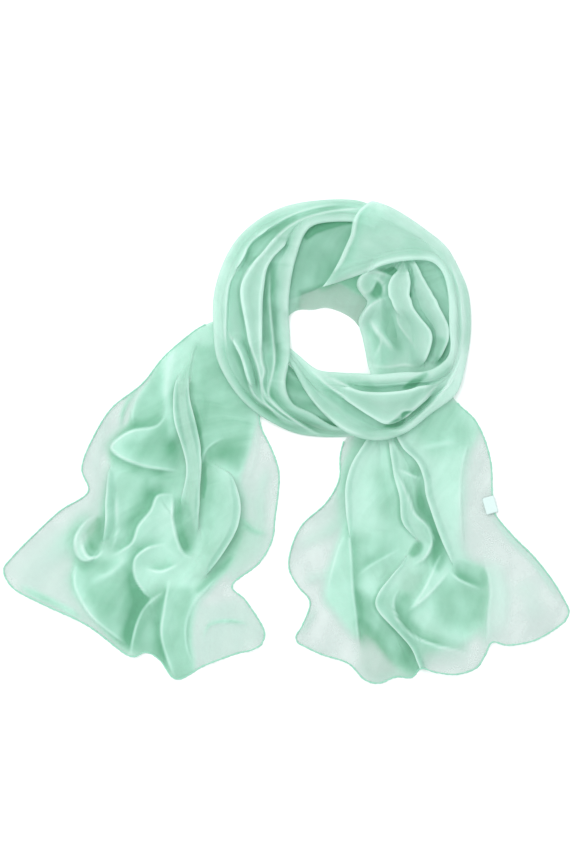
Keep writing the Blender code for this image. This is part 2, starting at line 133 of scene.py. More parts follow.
# fold, which way its nose points, tuck, rise, length over which each end fades, places along it
LEFT_FOLDS = (
    ("outer band inner edge", +1, 12, 8.0, 8, 20,
     ((83, 234), (55, 234), (33, 231), (7, 223), (-23, 204), (-35, 193), (-43, 174), (-55, 153),
      (-57, 113), (-58, 98))),
    ("lower outer fold", -1, 10, 7.5, 20, 8,
     ((-57, 107), (-50, 93), (-44, 81), (-35, 50), (-27, 39), (-16, 31), (1, 19), (20, 11),
      (51, 5))),
    ("second band outer edge", -1, 12, 8.0, 8, 12,
     ((81, 230), (55, 229), (33, 225), (11, 218), (-7, 206), (-24, 186), (-39, 169), (-45, 148),
      (-40, 116), (-36, 94), (-29, 74), (-22, 46), (-14, 35), (5, 21))),
    ("second band inner edge", +1, 11, 8.0, 10, 8,
     ((19, 216), (12, 207), (5, 198), (-4, 189), (-13, 179), (-18, 169), (-20, 156), (-22, 133),
      (-22, 83), (-19, 69), (-21, 54), (-20, 41), (-12, 31), (-1, 21), (19, 12), (49, 6))),
)

FRONT_SECTIONS = (
    ((-3, 86), (4, 93), -3.0, 0.0, 0.0),
    ((6, 74), (14, 85), -0.5, 0.2, 0.2),
    ((21, 47), (32, 71), 0.5, 0.5, 0.3),
    ((41, 23), (53, 68), 0.5, 0.5, 0.3),
    ((65, 5), (72, 67), 1.0, 9.0, 3.0),
    ((92, -1), (94, 66), 2.5, 8.5, 8.0),
    ((119, 6), (117, 68), 3.5, 8.5, 7.5),
    ((146, 26), (140, 69), 3.5, 7.0, 7.5),
    ((171, 46), (156, 77), 3.5, 5.5, 7.0),
    ((181, 76), (164, 90), 3.0, 0.5, 6.5),
    ((186, 110), (163, 115), 3.0, 0.0, 6.5),
    ((184, 145), (162, 143), 3.0, 0.0, 6.5),
    ((175, 170), (157, 165), 4.0, 0.0, 7.5),
    ((161, 194), (145, 177), 6.0, 0.0, 9.5),
    ((140, 211), (123, 178), 7.0, 0.0, 10.5),
    ((120, 225), (100, 174), 9.0, 0.5, 11.5),
    ((103, 234), (77, 165), 10.5, 5.0, 11.5),
    ((89, 238), (56, 158), 10.0, 12.5, 9.5),
    ((84, 237), (37, 152), 10.0, 14.0, 9.5),
)
FRONT_START = ((-3, 86), (0, 88), (2, 91), (4, 93))
FRONT_END = ((84, 237), (75, 230), (68, 219), (65, 204), (59, 190), (53, 177), (45, 163), (37, 152))
FRONT_FOLDS = (
    ("cowl outer edge", -1, 12, 8.5, 10, 12,
     ((18, 78), (27, 67), (39, 55), (55, 43), (71, 32), (85, 23), (101, 15), (117, 20), (131, 31),
      (146, 44), (161, 56), (171, 70), (176, 88), (177, 108), (175, 132), (171, 152))),
    ("cowl inner edge", +1, 11, 8.0, 16, 10,
     ((35, 68), (57, 58), (72, 50), (92, 48), (112, 49), (128, 52), (139, 58), (152, 69), (163, 80),
      (170, 90))),
)

INNER_SECTIONS = (
    ((98, 179), (153, 184), 0.3, 9.0, 0.0),
    ((86, 170), (161, 171), 0.3, 10.0, 0.0),
    ((74, 163), (164, 163), 0.3, 10.0, 0.0),
    ((71, 154), (166, 154), 0.2, 9.5, 0.0),
    ((76, 145), (168, 145), 0.2, 9.5, 0.0),
    ((81, 138), (169, 138), 0.2, 9.5, 0.0),
    ((77, 129), (169, 129), 0.2, 7.0, 0.0),
    ((73, 118), (170, 118), 0.2, 3.0, 0.0),
    ((77, 102), (169, 102), 0.2, 0.5, 0.0),
    ((80, 88), (163, 87), 0.2, 0.0, 0.0),
    ((82, 77), (157, 76), 0.0, 0.0, 0.0),
    ((86, 63), (151, 61), 0.0, 0.0, 0.0),
)
INNER_FOLDS = (
    ("leaf petal left edge", -1, 10, 7.5, 10, 30,
     ((117, 178), (109, 166), (103, 156), (103, 142), (110, 128), (117, 116))),
    ("leaf petal right edge", +1, 12, 8.0, 10, 16,
     ((119, 179), (124, 166), (126, 155), (124, 146), (127, 134), (135, 122), (143, 113),
      (147, 105), (146, 94), (141, 80), (137, 72))),
    ("outer petal edge", +1, 10, 7.5, 10, 16,
     ((129, 180), (137, 164), (145, 150), (153, 134), (163, 115), (164, 103), (162, 90),
      (153, 74))),
)

BACK_SECTIONS = (
    ((33, 216), (79, 220), 0.2),
    ((17, 202), (75, 203), 0.2),
    ((8, 184), (73, 184), 0.2),
    ((4, 167), (81, 174), 0.0),
    ((3, 152), (89, 158), 0.0),
    ((1, 136), (89, 132), 0.0),
    ((-1, 119), (83, 104), 0.0),
)
BACK_START = ((33, 216), (48, 218), (64, 219), (79, 220))
BACK_END = (
    (-1, 118), (6, 126), (14, 130), (28, 130), (41, 132), (55, 128), (67, 121), (75, 112),
    (83, 104),
)

LEFT_TAIL_SECTIONS = (
    ((-68, 120), (-24, 31), 3.0),
    ((-89, 110), (-26, 23), 2.2),
    ((-120, 84), (-23, 10), 0.5),
    ((-143, 56), (-16, -4), 0.5),
    ((-173, 32), (-10, -18), 0.5),
    ((-192, 2), (-6, -34), 0.5),
    ((-203, -28), (-7, -54), 0.5),
    ((-197, -52), (-10, -76), 0.5),
    ((-225, -71), (-13, -100), 0.5),
    ((-252, -96), (-27, -124), 0.5),
    ((-267, -111), (-53, -145), 0.5),
    ((-276, -121), (-39, -161), 0.5),
    ((-281, -128), (-21, -190), 0.5),
    ((-280, -137), (-24, -205), 0.5),
)
LEFT_TAIL_HEAD = ((-68, 120), (-65, 100), (-61, 82), (-54, 67), (-44, 53), (-34, 42), (-24, 31))
LEFT_TAIL_HEM = (
    (-280, -137), (-269, -150), (-238, -166), (-198, -185), (-157, -215), (-139, -212),
    (-125, -220), (-108, -239), (-80, -225), (-50, -214), (-34, -210), (-24, -205),
)
LEFT_TAIL_FOLDS = (
    ("upright fold", -1, 10, 6.5, 40, 40,
     ((-172, -12), (-176, -29), (-180, -56), (-180, -83), (-185, -116))),
    ("middle band edge", -1, 8, 6.5, 30, 50,
     ((-98, 76), (-108, 62), (-112, 45), (-111, 20), (-103, -7), (-99, -25), (-100, -43),
      (-105, -60), (-107, -80))),
    ("long line", +1, 9, 7.5, 20, 50,
     ((-89, 110), (-94, 75), (-95, 44), (-88, 15), (-84, -5), (-83, -25), (-84, -43), (-86, -79),
      (-85, -105))),
    ("right fold", +1, 8, 9.0, 40, 30,
     ((-80, -18), (-68, -26), (-55, -32), (-46, -52), (-44, -70), (-48, -90), (-62, -114),
      (-75, -131), (-83, -142))),
)

RIGHT_TAIL_SECTIONS = (
    ((62, 3), (167, 44), 2.0),
    ((58, -4), (175, 34), 1.4),
    ((55, -18), (189, 21), 0.5),
    ((54, -40), (199, 2), 0.5),
    ((41, -63), (206, -24), 0.5),
    ((18, -84), (207, -50), 0.5),
    ((7, -106), (209, -72), 0.5),
    ((4, -128), (227, -95), 0.5),
    ((13, -146), (249, -117), 0.5),
    ((25, -162), (267, -140), 0.5),
    ((18, -184), (279, -160), 0.5),
    ((11, -196), (284, -172), 0.5),
    ((13, -203), (279, -182), 0.5),
)
RIGHT_TAIL_HEAD = (
    (62, 3), (77, 4), (93, 3), (107, 7), (120, 13), (133, 23), (145, 32), (156, 38), (167, 44),
)
RIGHT_TAIL_HEM = (
    (13, -203), (36, -214), (63, -223), (79, -239), (94, -243), (110, -237), (127, -237),
    (136, -228), (151, -232), (172, -234), (191, -228), (200, -215), (207, -202), (223, -205),
    (247, -201), (265, -192), (279, -182),
)
RIGHT_TAIL_FOLDS = (
    ("left column", -1, 7, 8.0, 20, 50,
     ((87, 10), (73, -12), (65, -26), (60, -45), (60, -66), (63, -90), (67, -111))),
    ("falling edge", -1, 9, 8.0, 40, 20,
     ((129, -103), (116, -124), (101, -141), (90, -158), (91, -170), (108, -188), (125, -207),
      (136, -232))),
    ("ribbon left edge", -1, 7, 7.5, 20, 26,
     ((99, 10), (103, -2), (108, -35), (114, -58), (116, -81), (125, -94), (136, -106))),
    ("second column", -1, 8, 8.5, 20, 30,
     ((108, 10), (117, -8), (131, -22), (138, -39), (140, -54), (146, -73), (155, -98), (165, -120),
      (171, -134))),
)

# ---------------------------------------------------------------- creases
# Creases laid over each stretch: name, form, height, reach, extra layers, painted highlight
# on the crest (painted shade where below 0), painted shade in the recess, places along it.
# A lip stands up steeply, with its high side on the left hand of someone who walks along it;
# a ridge and a trough (negative height) are soft on both sides.
LEFT_CREASES = (
    ("outer band", "lip", 2.5, 6.0, 0.0, 0.7, -0.3,
     ((-57, 90), (-58, 113), (-55, 153), (-43, 174), (-35, 193), (-23, 204), (7, 223), (33, 231),
      (60, 235))),
    ("second band", "lip", 2.5, 7.0, 0.0, 0.9, -0.3,
     ((81, 233), (55, 231), (33, 227), (11, 219), (-7, 206), (-24, 186), (-39, 169), (-45, 148),
      (-40, 116), (-36, 94), (-29, 74), (-22, 46), (-14, 35), (5, 21), (21, 13))),
    ("curl over the third band", "lip", 2.5, 6.0, 0.0, 0.8, -0.3,
     ((19, 13), (-1, 21), (-12, 31), (-20, 41), (-22, 56), (-19, 69), (-22, 83), (-23, 133),
      (-21, 156), (-18, 170), (-12, 181))),
    ("third band", "lip", 3.0, 5.0, 0.0, 0.9, -0.4,
     ((39, 4), (11, 20), (-10, 38), (-15, 49), (-10, 71), (-9, 86), (-12, 116), (-14, 140),
      (-14, 172))),
    ("lower outer band", "lip", 2.5, 6.0, 0.0, 0.8, -0.4,
     ((-59, 110), (-56, 103), (-50, 93), (-44, 81), (-35, 50), (-27, 39), (-16, 31), (1, 19),
      (20, 11))),
)
FRONT_CREASES = (
    ("end strip's right edge", "lip", 2.5, 5.0, 0.3, 0.7, -0.5,
     ((48, 163), (58, 177), (65, 192), (70, 204), (73, 221), (79, 230), (89, 236))),
    ("end strip's left edge", "ridge", 1.0, 1.8, 0.0, 0.7, 0.0,
     ((40, 154), (48, 164), (55, 178), (61, 191), (67, 204), (70, 219), (77, 230), (85, 235))),
    ("wide band's lower edge", "ridge", 0.8, 2.0, 0.0, 0.6, 0.0,
     ((55, 159), (71, 165), (88, 172), (100, 177), (113, 180), (127, 181), (143, 180), (155, 172),
      (162, 158), (164, 143))),
    ("right side line", "lip", 2.5, 6.0, 0.0, 0.9, -0.4,
     ((163, 178), (172, 154), (175, 138), (176, 105), (173, 88))),
    ("cowl's left edge", "lip", 3.0, 8.0, 0.3, 0.8, -0.5,
     ((19, 78), (28, 67), (40, 55), (55, 44), (67, 36))),
    ("cowl's upper left edge", "lip", 2.0, 5.0, 0.3, 0.7, -0.3,
     ((77, 50), (69, 52), (57, 58), (37, 67))),
    ("outer fold line", "lip", 2.0, 6.0, 0.0, 0.7, -0.3,
     ((15, 54), (29, 35), (44, 21), (60, 9), (79, 3))),
    ("ruffle", "lip", 2.0, 6.0, 0.3, 0.6, -0.6,
     ((93, 16), (101, 16), (108, 19), (114, 24), (118, 28), (127, 29), (136, 36), (146, 47),
      (159, 60))),
    ("band under the ruffle", "lip", 3.0, 9.0, 0.0, 0.8, -0.1,
     ((176, 100), (175, 86), (170, 70), (161, 55), (150, 42), (137, 29), (124, 17), (113, 11),
      (99, 12))),
)
INNER_CREASES = (
    ("hole side ridge", "ridge", 2.8, 4.0, 0.0, 0.9, 0.0,
     ((82, 122), (94, 107), (104, 95), (115, 83))),
    ("hole side pane", "lip", 2.0, 6.0, 0.0, 0.7, -0.4,
     ((83, 122), (88, 110), (94, 100), (92, 91), (86, 81))),
    ("hollow between the crests", "ridge", -2.5, 8.0, 0.3, -0.5, 0.0,
     ((105, 138), (102, 115), (108, 98), (123, 79))),
    ("second crest", "lip", 2.0, 10.0, 0.0, 0.4, -0.3,
     ((104, 138), (109, 127), (112, 115), (118, 106), (126, 95), (130, 85))),
    ("shell", "lip", 4.0, 9.0, 0.3, 0.6, -0.5,
     ((105, 145), (92, 140), (83, 134), (77, 126), (74, 115))),
    ("swirl", "lip", 2.5, 5.0, 0.3, 0.8, -0.5,
     ((111, 162), (98, 167), (88, 170), (80, 169), (75, 164), (73, 155), (75, 148), (81, 144))),
    ("swirl's lower side", "lip", 2.0, 4.0, 0.0, 0.3, -0.6,
     ((78, 145), (85, 147), (89, 152), (91, 156), (94, 159))),
    ("strand beside the swirl", "lip", 2.0, 4.0, 0.0, 0.8, -0.7,
     ((86, 160), (92, 159), (96, 155), (97, 149), (96, 142))),
    ("petals' hem", "ridge", 1.0, 1.8, 0.0, 0.7, 0.0,
     ((81, 79), (90, 74), (105, 73), (118, 75), (130, 74), (139, 78))),
)
BACK_CREASES = (
    ("under the petals", "ridge", -6.0, 9.0, 0.0, 0.0, 0.0,
     ((87, 184), (91, 165), (91, 145), (90, 125), (83, 102), (81, 95))),
)
LEFT_TAIL_CREASES = (
    ("flare edge", "lip", 4.0, 13.0, 0.3, 0.9, -0.6,
     ((-121, -150), (-134, -159), (-143, -169), (-150, -185), (-154, -202), (-156, -218))),
    ("left edge of the bright patch", "lip", 2.0, 7.0, 0.2, 0.5, -0.2,
     ((-141, 58), (-150, 43), (-154, 28), (-153, 13))),
    ("hem turned up at the left", "ridge", 1.2, 3.5, 1.7, -0.3, 0.0,
     ((-269, -144), (-252, -153), (-235, -161), (-217, -170), (-199, -181))),
    ("ridge from the ring", "ridge", 3.5, 6.0, 0.4, 0.6, 0.0,
     ((-107, 98), (-115, 75), (-119, 50), (-116, 30), (-113, 12), (-118, -6))),
    ("ridge to the hem", "lip", 3.5, 13.0, 0.3, 0.8, -0.6,
     ((-117, -138), (-119, -150), (-122, -168), (-125, -192), (-121, -212), (-111, -238))),
    ("edge of the lower band", "lip", 3.0, 9.0, 0.4, 0.5, 0.0,
     ((-91, -224), (-97, -205), (-97, -182), (-89, -162), (-77, -149), (-65, -136))),
    ("crescent on the right panel", "lip", 2.5, 7.0, 0.2, 0.5, -0.2,
     ((-82, -34), (-80, -16), (-73, -6), (-59, 2))),
    ("leaf petal", "lip", 6.0, 20.0, 1.0, 0.8, -0.7,
     ((-119, 28), (-129, 15), (-151, 11), (-165, 4), (-175, -7), (-165, -18), (-142, -27),
      (-125, -30), (-107, -32))),
    ("ear loop", "lip", 5.0, 9.0, 0.8, 0.8, -0.6,
     ((-188, -74), (-199, -80), (-207, -90), (-211, -101), (-209, -114), (-202, -121), (-193, -120),
      (-185, -110))),
    ("inside the ear", "lip", 3.0, 6.0, 0.6, 1.2, -0.7,
     ((-182, -108), (-188, -115), (-195, -116), (-200, -109), (-203, -94))),
    ("centre petal, left side", "lip", 6.0, 18.0, 0.8, 0.8, -0.8,
     ((-111, -54), (-120, -53), (-129, -56), (-135, -70), (-147, -85), (-153, -101), (-163, -109),
      (-175, -116))),
    ("centre petal, right side", "lip", 5.0, 12.0, 0.6, 0.8, -0.8,
     ((-89, -116), (-99, -114), (-106, -101), (-111, -79), (-111, -65), (-112, -52))),
    ("spiral", "lip", 5.0, 16.0, 0.6, 0.8, -0.8,
     ((-118, -103), (-127, -104), (-140, -108), (-151, -119), (-151, -137), (-142, -152),
      (-133, -161))),
    ("inside the spiral", "lip", 3.5, 8.0, 0.4, 0.8, -0.6,
     ((-107, -123), (-124, -130), (-140, -127))),
    ("low left swell", "ridge", 5.0, 20.0, 0.4, 0.0, 0.0,
     ((-190, -145), (-173, -165), (-160, -185))),
    ("pale ridge", "ridge", 3.0, 4.0, 0.0, 0.7, 0.0,
     ((-198, -147), (-185, -138), (-172, -131), (-153, -112))),
    ("lower left edge", "lip", 3.0, 12.0, 0.6, 0.7, -0.3,
     ((-209, -120), (-212, -135), (-209, -152), (-193, -178), (-158, -206))),
    ("creases by the right selvedge", "ridge", 2.5, 2.5, 1.0, -0.2, 0.0,
     ((-44, -78), (-33, -90), (-17, -94))),
    ("crease by the right corner", "ridge", 2.0, 1.7, 1.3, -0.4, 0.0,
     ((-82, -199), (-79, -190), (-73, -183), (-55, -181), (-33, -184))),
    ("wing crease", "ridge", 2.0, 2.5, 1.3, -0.4, 0.0,
     ((-144, 54), (-155, 42), (-162, 27), (-165, 10))),
    ("second upright line", "lip", 3.0, 6.0, 0.0, 0.6, -0.2,
     ((-171, -50), (-169, -70), (-169, -90), (-175, -112))),
    ("second wing crease", "ridge", 2.0, 4.0, 0.2, 0.0, 0.0,
     ((-167, 38), (-179, 18), (-187, -10), (-190, -40))),
    ("soft fold in the left corner", "ridge", 2.5, 9.0, 0.4, 0.0, 0.0,
     ((-237, -128), (-225, -108), (-211, -88), (-199, -72))),
    ("fold of the right sheer part", "ridge", 2.5, 6.0, 0.5, 0.0, 0.0,
     ((-15, -22), (-23, -50), (-23, -80), (-13, -94))),
    ("sheer part's edge", "lip", 2.5, 6.0, 0.4, 0.5, 0.0,
     ((-28, 16), (-33, -18), (-42, -44))),
)
RIGHT_TAIL_CREASES = (
    ("second column's right side", "lip", 2.0, 7.0, 0.2, 0.3, -0.1,
     ((179, -108), (177, -80), (176, -50), (179, -22), (186, 2))),
    ("ribbon right side", "lip", 4.5, 11.0, 0.6, 0.8, -0.5,
     ((127, -126), (139, -120), (146, -110), (148, -99), (143, -85), (131, -73), (125, -58),
      (112, -30))),
    ("wedge's right edge", "lip", 3.0, 11.0, 0.0, 0.5, -0.5,
     ((76, -215), (72, -173), (69, -149), (67, -111), (64, -84))),
    ("right column", "lip", 3.0, 9.0, 0.6, 0.4, -0.5,
     ((193, -112), (200, -128), (204, -149), (202, -177), (201, -212))),
    ("low band's left edge", "lip", 2.5, 8.0, 0.6, 0.6, -0.2,
     ((159, -108), (151, -120), (144, -136), (136, -151), (121, -172))),
    ("low band's right edge", "lip", 2.5, 6.0, 0.0, 0.7, -0.3,
     ((121, -173), (139, -160), (153, -146), (166, -130))),
    ("pane beside the ribbon", "lip", 2.0, 7.0, 0.3, 0.6, -0.4,
     ((138, -39), (125, -33), (112, -27))),
    ("crease across the column", "lip", 2.0, 8.0, 0.0, 0.4, -0.3,
     ((115, -107), (99, -116), (85, -124), (71, -135))),
    ("wedge's left edge", "lip", 2.0, 8.0, 0.2, 0.4, 0.0,
     ((63, -87), (53, -105), (46, -128), (41, -152))),
    ("turned selvedge", "ridge", 1.0, 3.0, 0.8, -0.1, 0.0,
     ((203, -72), (228, -102), (254, -129), (275, -162))),
    ("hanging curve", "lip", 5.0, 14.0, 0.6, 0.8, -0.6,
     ((191, -215), (146, -202), (123, -190), (112, -175), (110, -160), (116, -147))),
    ("short edge", "lip", 3.5, 10.0, 0.0, 0.7, -0.5,
     ((197, -148), (176, -139), (165, -130))),
    ("soft crease", "ridge", 2.0, 4.0, 0.0, 0.5, 0.0,
     ((130, -9), (151, -5), (177, 0))),
    ("swell in the column", "ridge", 3.0, 12.0, 0.3, 0.2, 0.0,
     ((75, -120), (93, -108), (113, -102))),
    ("left wing's upper fold", "ridge", 2.5, 7.0, 0.5, -0.1, 0.0,
     ((11, -108), (27, -100), (45, -90), (60, -74))),
    ("left wing's lower fold", "ridge", 2.5, 6.0, 0.4, -0.1, 0.0,
     ((15, -144), (29, -138), (41, -134), (50, -126))),
    ("left wing's inner edge", "ridge", 2.0, 3.0, 0.4, 0.0, 0.0,
     ((65, -6), (59, -28), (55, -52), (45, -68))),
    ("right panel's streak", "ridge", 3.0, 8.0, 0.7, 0.5, 0.0,
     ((205, -116), (215, -140), (217, -166), (215, -196))),
    ("right panel's second streak", "ridge", 2.5, 12.0, 0.4, 0.0, 0.0,
     ((231, -134), (245, -158), (251, -184))),
    ("bowl's rim", "ridge", 3.0, 9.0, 0.2, 0.1, 0.0,
     ((137, -164), (151, -176), (165, -192), (191, -200))),
    ("corner crease", "ridge", 2.5, 4.0, 0.5, -0.2, 0.0,
     ((33, -166), (24, -180), (15, -196))),
)

# Soft-edged areas: name, extra layers, painted shading (painted shade below 0, painted light
# above 0), how wide the edge fades, places round it. In the gaps, slits and hole the extra layers
# stand in for shade as well.
LEFT_TAIL_AREAS = (
    ("gathered middle", 1.2, -0.05, 13.0,
     ((-71, 136), (-97, 116), (-127, 93), (-131, 64), (-146, 42), (-158, 9), (-171, -8),
      (-175, -30), (-180, -60), (-187, -90), (-205, -112), (-211, -130), (-209, -152), (-189, -178),
      (-159, -212), (-139, -214), (-125, -222), (-108, -244), (-91, -234), (-93, -200), (-89, -168),
      (-73, -148), (-55, -120), (-43, -85), (-42, -60), (-45, -38), (-30, 10), (-30, 35))),
    ("bright patch by the ridge", 1.2, -0.25, 8.0,
     ((-125, 78), (-145, 44), (-153, 25), (-152, 11), (-135, 16), (-123, 28), (-120, 55))),
    ("top panel", 0.9, -0.45, 14.0,
     ((-89, 95), (-67, 90), (-45, 48), (-33, 35), (-35, 0), (-45, -30), (-63, -20), (-79, -22),
      (-85, 20))),
    ("hollow on the right panel", 0.5, -0.35, 18.0,
     ((-71, -15), (-64, -7), (-54, -3), (-46, -7), (-44, -15), (-49, -23), (-58, -26), (-67, -22))),
    ("slit beside the long line", 1.0, -0.9, 3.0,
     ((-90, 36), (-87, 22), (-84, 4), (-87, 6), (-90, 22))),
    ("slit under the crescent", 0.8, -0.7, 3.0,
     ((-82, -22), (-79, -32), (-79, -48), (-82, -58), (-83, -40))),
    ("low part of the right wing", 0.5, -0.1, 16.0,
     ((-47, -84), (-33, -82), (-17, -96), (-23, -116), (-39, -132), (-53, -140), (-59, -122))),
    ("right corner", 0.4, -0.1, 16.0,
     ((-89, -166), (-45, -160), (-23, -182), (-23, -200), (-85, -224))),
    ("right fold's side", 0.3, -0.2, 14.0,
     ((-79, -40), (-59, -40), (-49, -60), (-57, -100), (-79, -126), (-85, -100))),
    ("inside the leaf", 1.2, -0.35, 12.0,
     ((-117, 18), (-135, 8), (-161, -6), (-145, -20), (-113, -26), (-107, -10))),
    ("hollow in the leaf", 0.4, -0.25, 16.0,
     ((-119, -1), (-115, 5), (-109, 2), (-105, -7), (-109, -14), (-115, -15), (-119, -9))),
    ("middle band", 0.0, -0.3, 8.0,
     ((-99, 76), (-89, 78), (-91, 45), (-85, 15), (-81, -20), (-84, -75), (-97, -72), (-99, -30),
      (-107, 15), (-110, 45))),
    ("inside the ear", 0.6, -0.6, 6.0,
     ((-200, -91), (-193, -82), (-185, -76), (-182, -96), (-187, -110), (-195, -108))),
    ("foot between the hem folds", 0.8, -0.45, 10.0,
     ((-135, -166), (-123, -160), (-124, -200), (-122, -220), (-135, -220), (-151, -215),
      (-147, -188))),
    ("left corner", 0.35, -0.1, 30.0,
     ((-275, -128), (-245, -100), (-215, -100), (-201, -160), (-235, -160), (-265, -148))),
    ("lower band", 0.5, -0.45, 10.0,
     ((-119, -150), (-93, -150), (-95, -200), (-91, -234), (-108, -244), (-123, -210))),
    ("low swell", 0.4, 0.0, 14.0,
     ((-201, -150), (-173, -144), (-157, -160), (-161, -190), (-181, -176))),
    ("low left mass", 0.7, -0.35, 12.0,
     ((-205, -126), (-167, -120), (-139, -160), (-153, -210), (-189, -178))),
    ("pale side of the right fold", 0.0, 0.12, 16.0,
     ((-69, -34), (-49, -50), (-47, -72), (-57, -96), (-71, -110), (-71, -70))),
    ("pale side of the centre petal", 0.0, 0.05, 10.0,
     ((-129, -58), (-113, -56), (-113, -80), (-125, -96), (-141, -100), (-135, -74))),
    ("thick middle", 0.7, -0.1, 18.0,
     ((-177, -30), (-135, -34), (-107, -40), (-125, -52), (-135, -65), (-147, -82), (-155, -100),
      (-175, -108), (-179, -80))),
    ("hollow left of the centre petal", 0.6, -0.35, 12.0,
     ((-139, -38), (-133, -48), (-139, -64), (-151, -82), (-161, -90), (-155, -68))),
    ("hollow by the middle band", 0.8, -0.4, 8.0,
     ((-107, -60), (-99, -60), (-89, -90), (-91, -110), (-101, -108), (-107, -85))),
    ("hollow right of the swell", 1.0, -0.4, 14.0,
     ((-153, -135), (-145, -152), (-133, -164), (-145, -175), (-151, -200), (-161, -196),
      (-161, -160))),
    ("hollow under the right fold", 1.2, -0.6, 9.0,
     ((-54, -118), (-60, -131), (-73, -143), (-85, -152), (-89, -150), (-79, -138), (-68, -126))),
)
RIGHT_TAIL_AREAS = (
    ("gathered middle", 1.2, 0.0, 18.0,
     ((71, 15), (65, -12), (57, -40), (56, -68), (60, -90), (65, -120), (67, -160), (77, -192),
      (113, -224), (138, -236), (140, -210), (185, -200), (199, -170), (197, -140), (177, -105),
      (177, -60), (181, -20), (197, 15), (170, 40))),
    ("wedge", 1.3, -0.15, 15.0,
     ((65, -82), (52, -105), (43, -133), (39, -158), (49, -172), (72, -196), (70, -140))),
    ("upper right", 0.8, -0.35, 22.0,
     ((125, 15), (170, 38), (183, 0), (155, -12), (140, -6))),
    ("foot of the falling edge", 1.0, -0.5, 14.0,
     ((71, -152), (89, -160), (91, -172), (108, -190), (133, -228), (113, -224), (91, -200),
      (73, -180))),
    ("hollow in the column", 0.5, -0.4, 24.0,
     ((93, -30), (105, -40), (113, -60), (113, -82), (99, -80), (91, -55))),
    ("hollow beside the ribbon", 1.0, -0.7, 8.0,
     ((133, -40), (139, -60), (149, -80), (161, -116), (153, -132), (147, -120), (149, -100),
      (143, -80), (133, -65))),
    ("hollow in the column's foot", 0.5, -0.4, 26.0,
     ((71, -96), (93, -92), (113, -90), (119, -105), (99, -122), (75, -132))),
    ("bowl", 0.8, -0.4, 20.0,
     ((161, -140), (171, -136), (183, -142), (196, -149), (199, -164), (193, -182), (177, -191),
      (160, -186), (149, -173), (151, -154))),
    ("pocket under the ribbon's foot", 0.8, -0.8, 5.0,
     ((128, -105), (133, -101), (138, -104), (137, -112), (129, -117), (124, -114))),
    ("falling strip", 0.3, -0.45, 12.0,
     ((95, -158), (111, -148), (111, -172), (127, -192), (155, -208), (139, -228), (123, -208),
      (103, -184))),
    ("thin part of the column's foot", -0.3, -0.8, 14.0,
     ((72, -182), (81, -184), (95, -200), (105, -216), (107, -232), (87, -238), (75, -220))),
    ("foot of the column", 0.7, -0.35, 18.0,
     ((73, -194), (113, -224), (127, -236), (105, -242), (87, -242), (75, -228))),
    ("over the short edge", 0.8, -0.25, 9.0,
     ((163, -126), (177, -121), (195, -125), (203, -136), (197, -147), (177, -139))),
    ("hollow of the hanging curve", 1.0, -0.5, 12.0,
     ((114, -154), (123, -155), (129, -166), (127, -178), (135, -190), (125, -188), (117, -180),
      (112, -168))),
    ("thin at the low middle", -0.2, -0.5, 12.0,
     ((123, -132), (141, -132), (135, -152), (119, -160), (115, -144))),
)
LEFT_AREAS = (
    ("gap under the outer band", 1.0, -0.4, 7.0,
     ((11, 224), (-5, 217), (-23, 205), (-34, 194), (-40, 182), (-38, 176), (-29, 186), (-17, 198),
      (-3, 209), (11, 218))),
    ("top of the outer band", 0.0, -0.35, 14.0,
     ((-57, 178), (-33, 212), (5, 234), (35, 242), (75, 240), (75, 232), (15, 226), (-23, 204),
      (-45, 178))),
    ("third strip", 0.0, -0.45, 8.0,
     ((-17, 178), (-9, 176), (-8, 140), (-4, 90), (-9, 68), (-17, 84), (-20, 140))),
    ("bands at the bottom", 0.0, -0.35, 12.0,
     ((-19, 42), (15, 22), (51, 10), (51, 0), (5, 6), (-23, 26))),
    ("low bands", 0.0, -0.5, 26.0,
     ((-57, 88), (-33, 88), (-19, 64), (5, 44), (55, 16), (55, -2), (5, 4), (-35, 28))),
)
FRONT_AREAS = (
    ("cowl panel", 0.0, -0.05, 12.0,
     ((45, 62), (72, 49), (112, 48), (139, 56), (165, 80), (155, 55), (135, 38), (115, 28),
      (100, 18), (75, 32), (53, 46))),
    ("rim above the cowl", 0.0, -0.25, 6.0,
     ((53, 61), (72, 52), (113, 51), (115, 56), (75, 60), (59, 66))),
    ("gap over the cowl", 1.3, -1.3, 4.0,
     ((117, 51), (123, 58), (132, 64), (141, 68), (142, 64), (135, 58), (127, 52))),
    ("first gap in the ruffle", 1.0, -1.3, 3.0,
     ((99, 14), (106, 19), (112, 21), (117, 21), (117, 16), (108, 13))),
    ("second gap in the ruffle", 1.0, -1.2, 2.5,
     ((116, 20), (116, 26), (121, 29), (129, 29), (126, 27), (121, 25), (119, 19))),
    ("right side", 0.0, 0.45, 10.0,
     ((161, 182), (171, 160), (178, 130), (177, 100), (171, 60), (163, 80), (167, 110),
      (166, 150))),
    ("right rim", 0.0, -0.35, 6.0,
     ((177, 156), (183, 150), (188, 120), (185, 90), (179, 90), (181, 122), (179, 140))),
    ("gap over the petals", 0.0, 0.2, 8.0,
     ((85, 62), (115, 60), (145, 64), (145, 68), (115, 66), (85, 68))),
    ("bottom band", 0.0, -0.5, 16.0,
     ((5, 78), (45, 30), (75, 12), (115, 12), (115, 0), (60, 0), (15, 50))),
    ("wide band shade", 0.0, -0.15, 12.0,
     ((77, 190), (100, 184), (135, 186), (140, 178), (100, 172), (65, 158), (60, 165))),
)
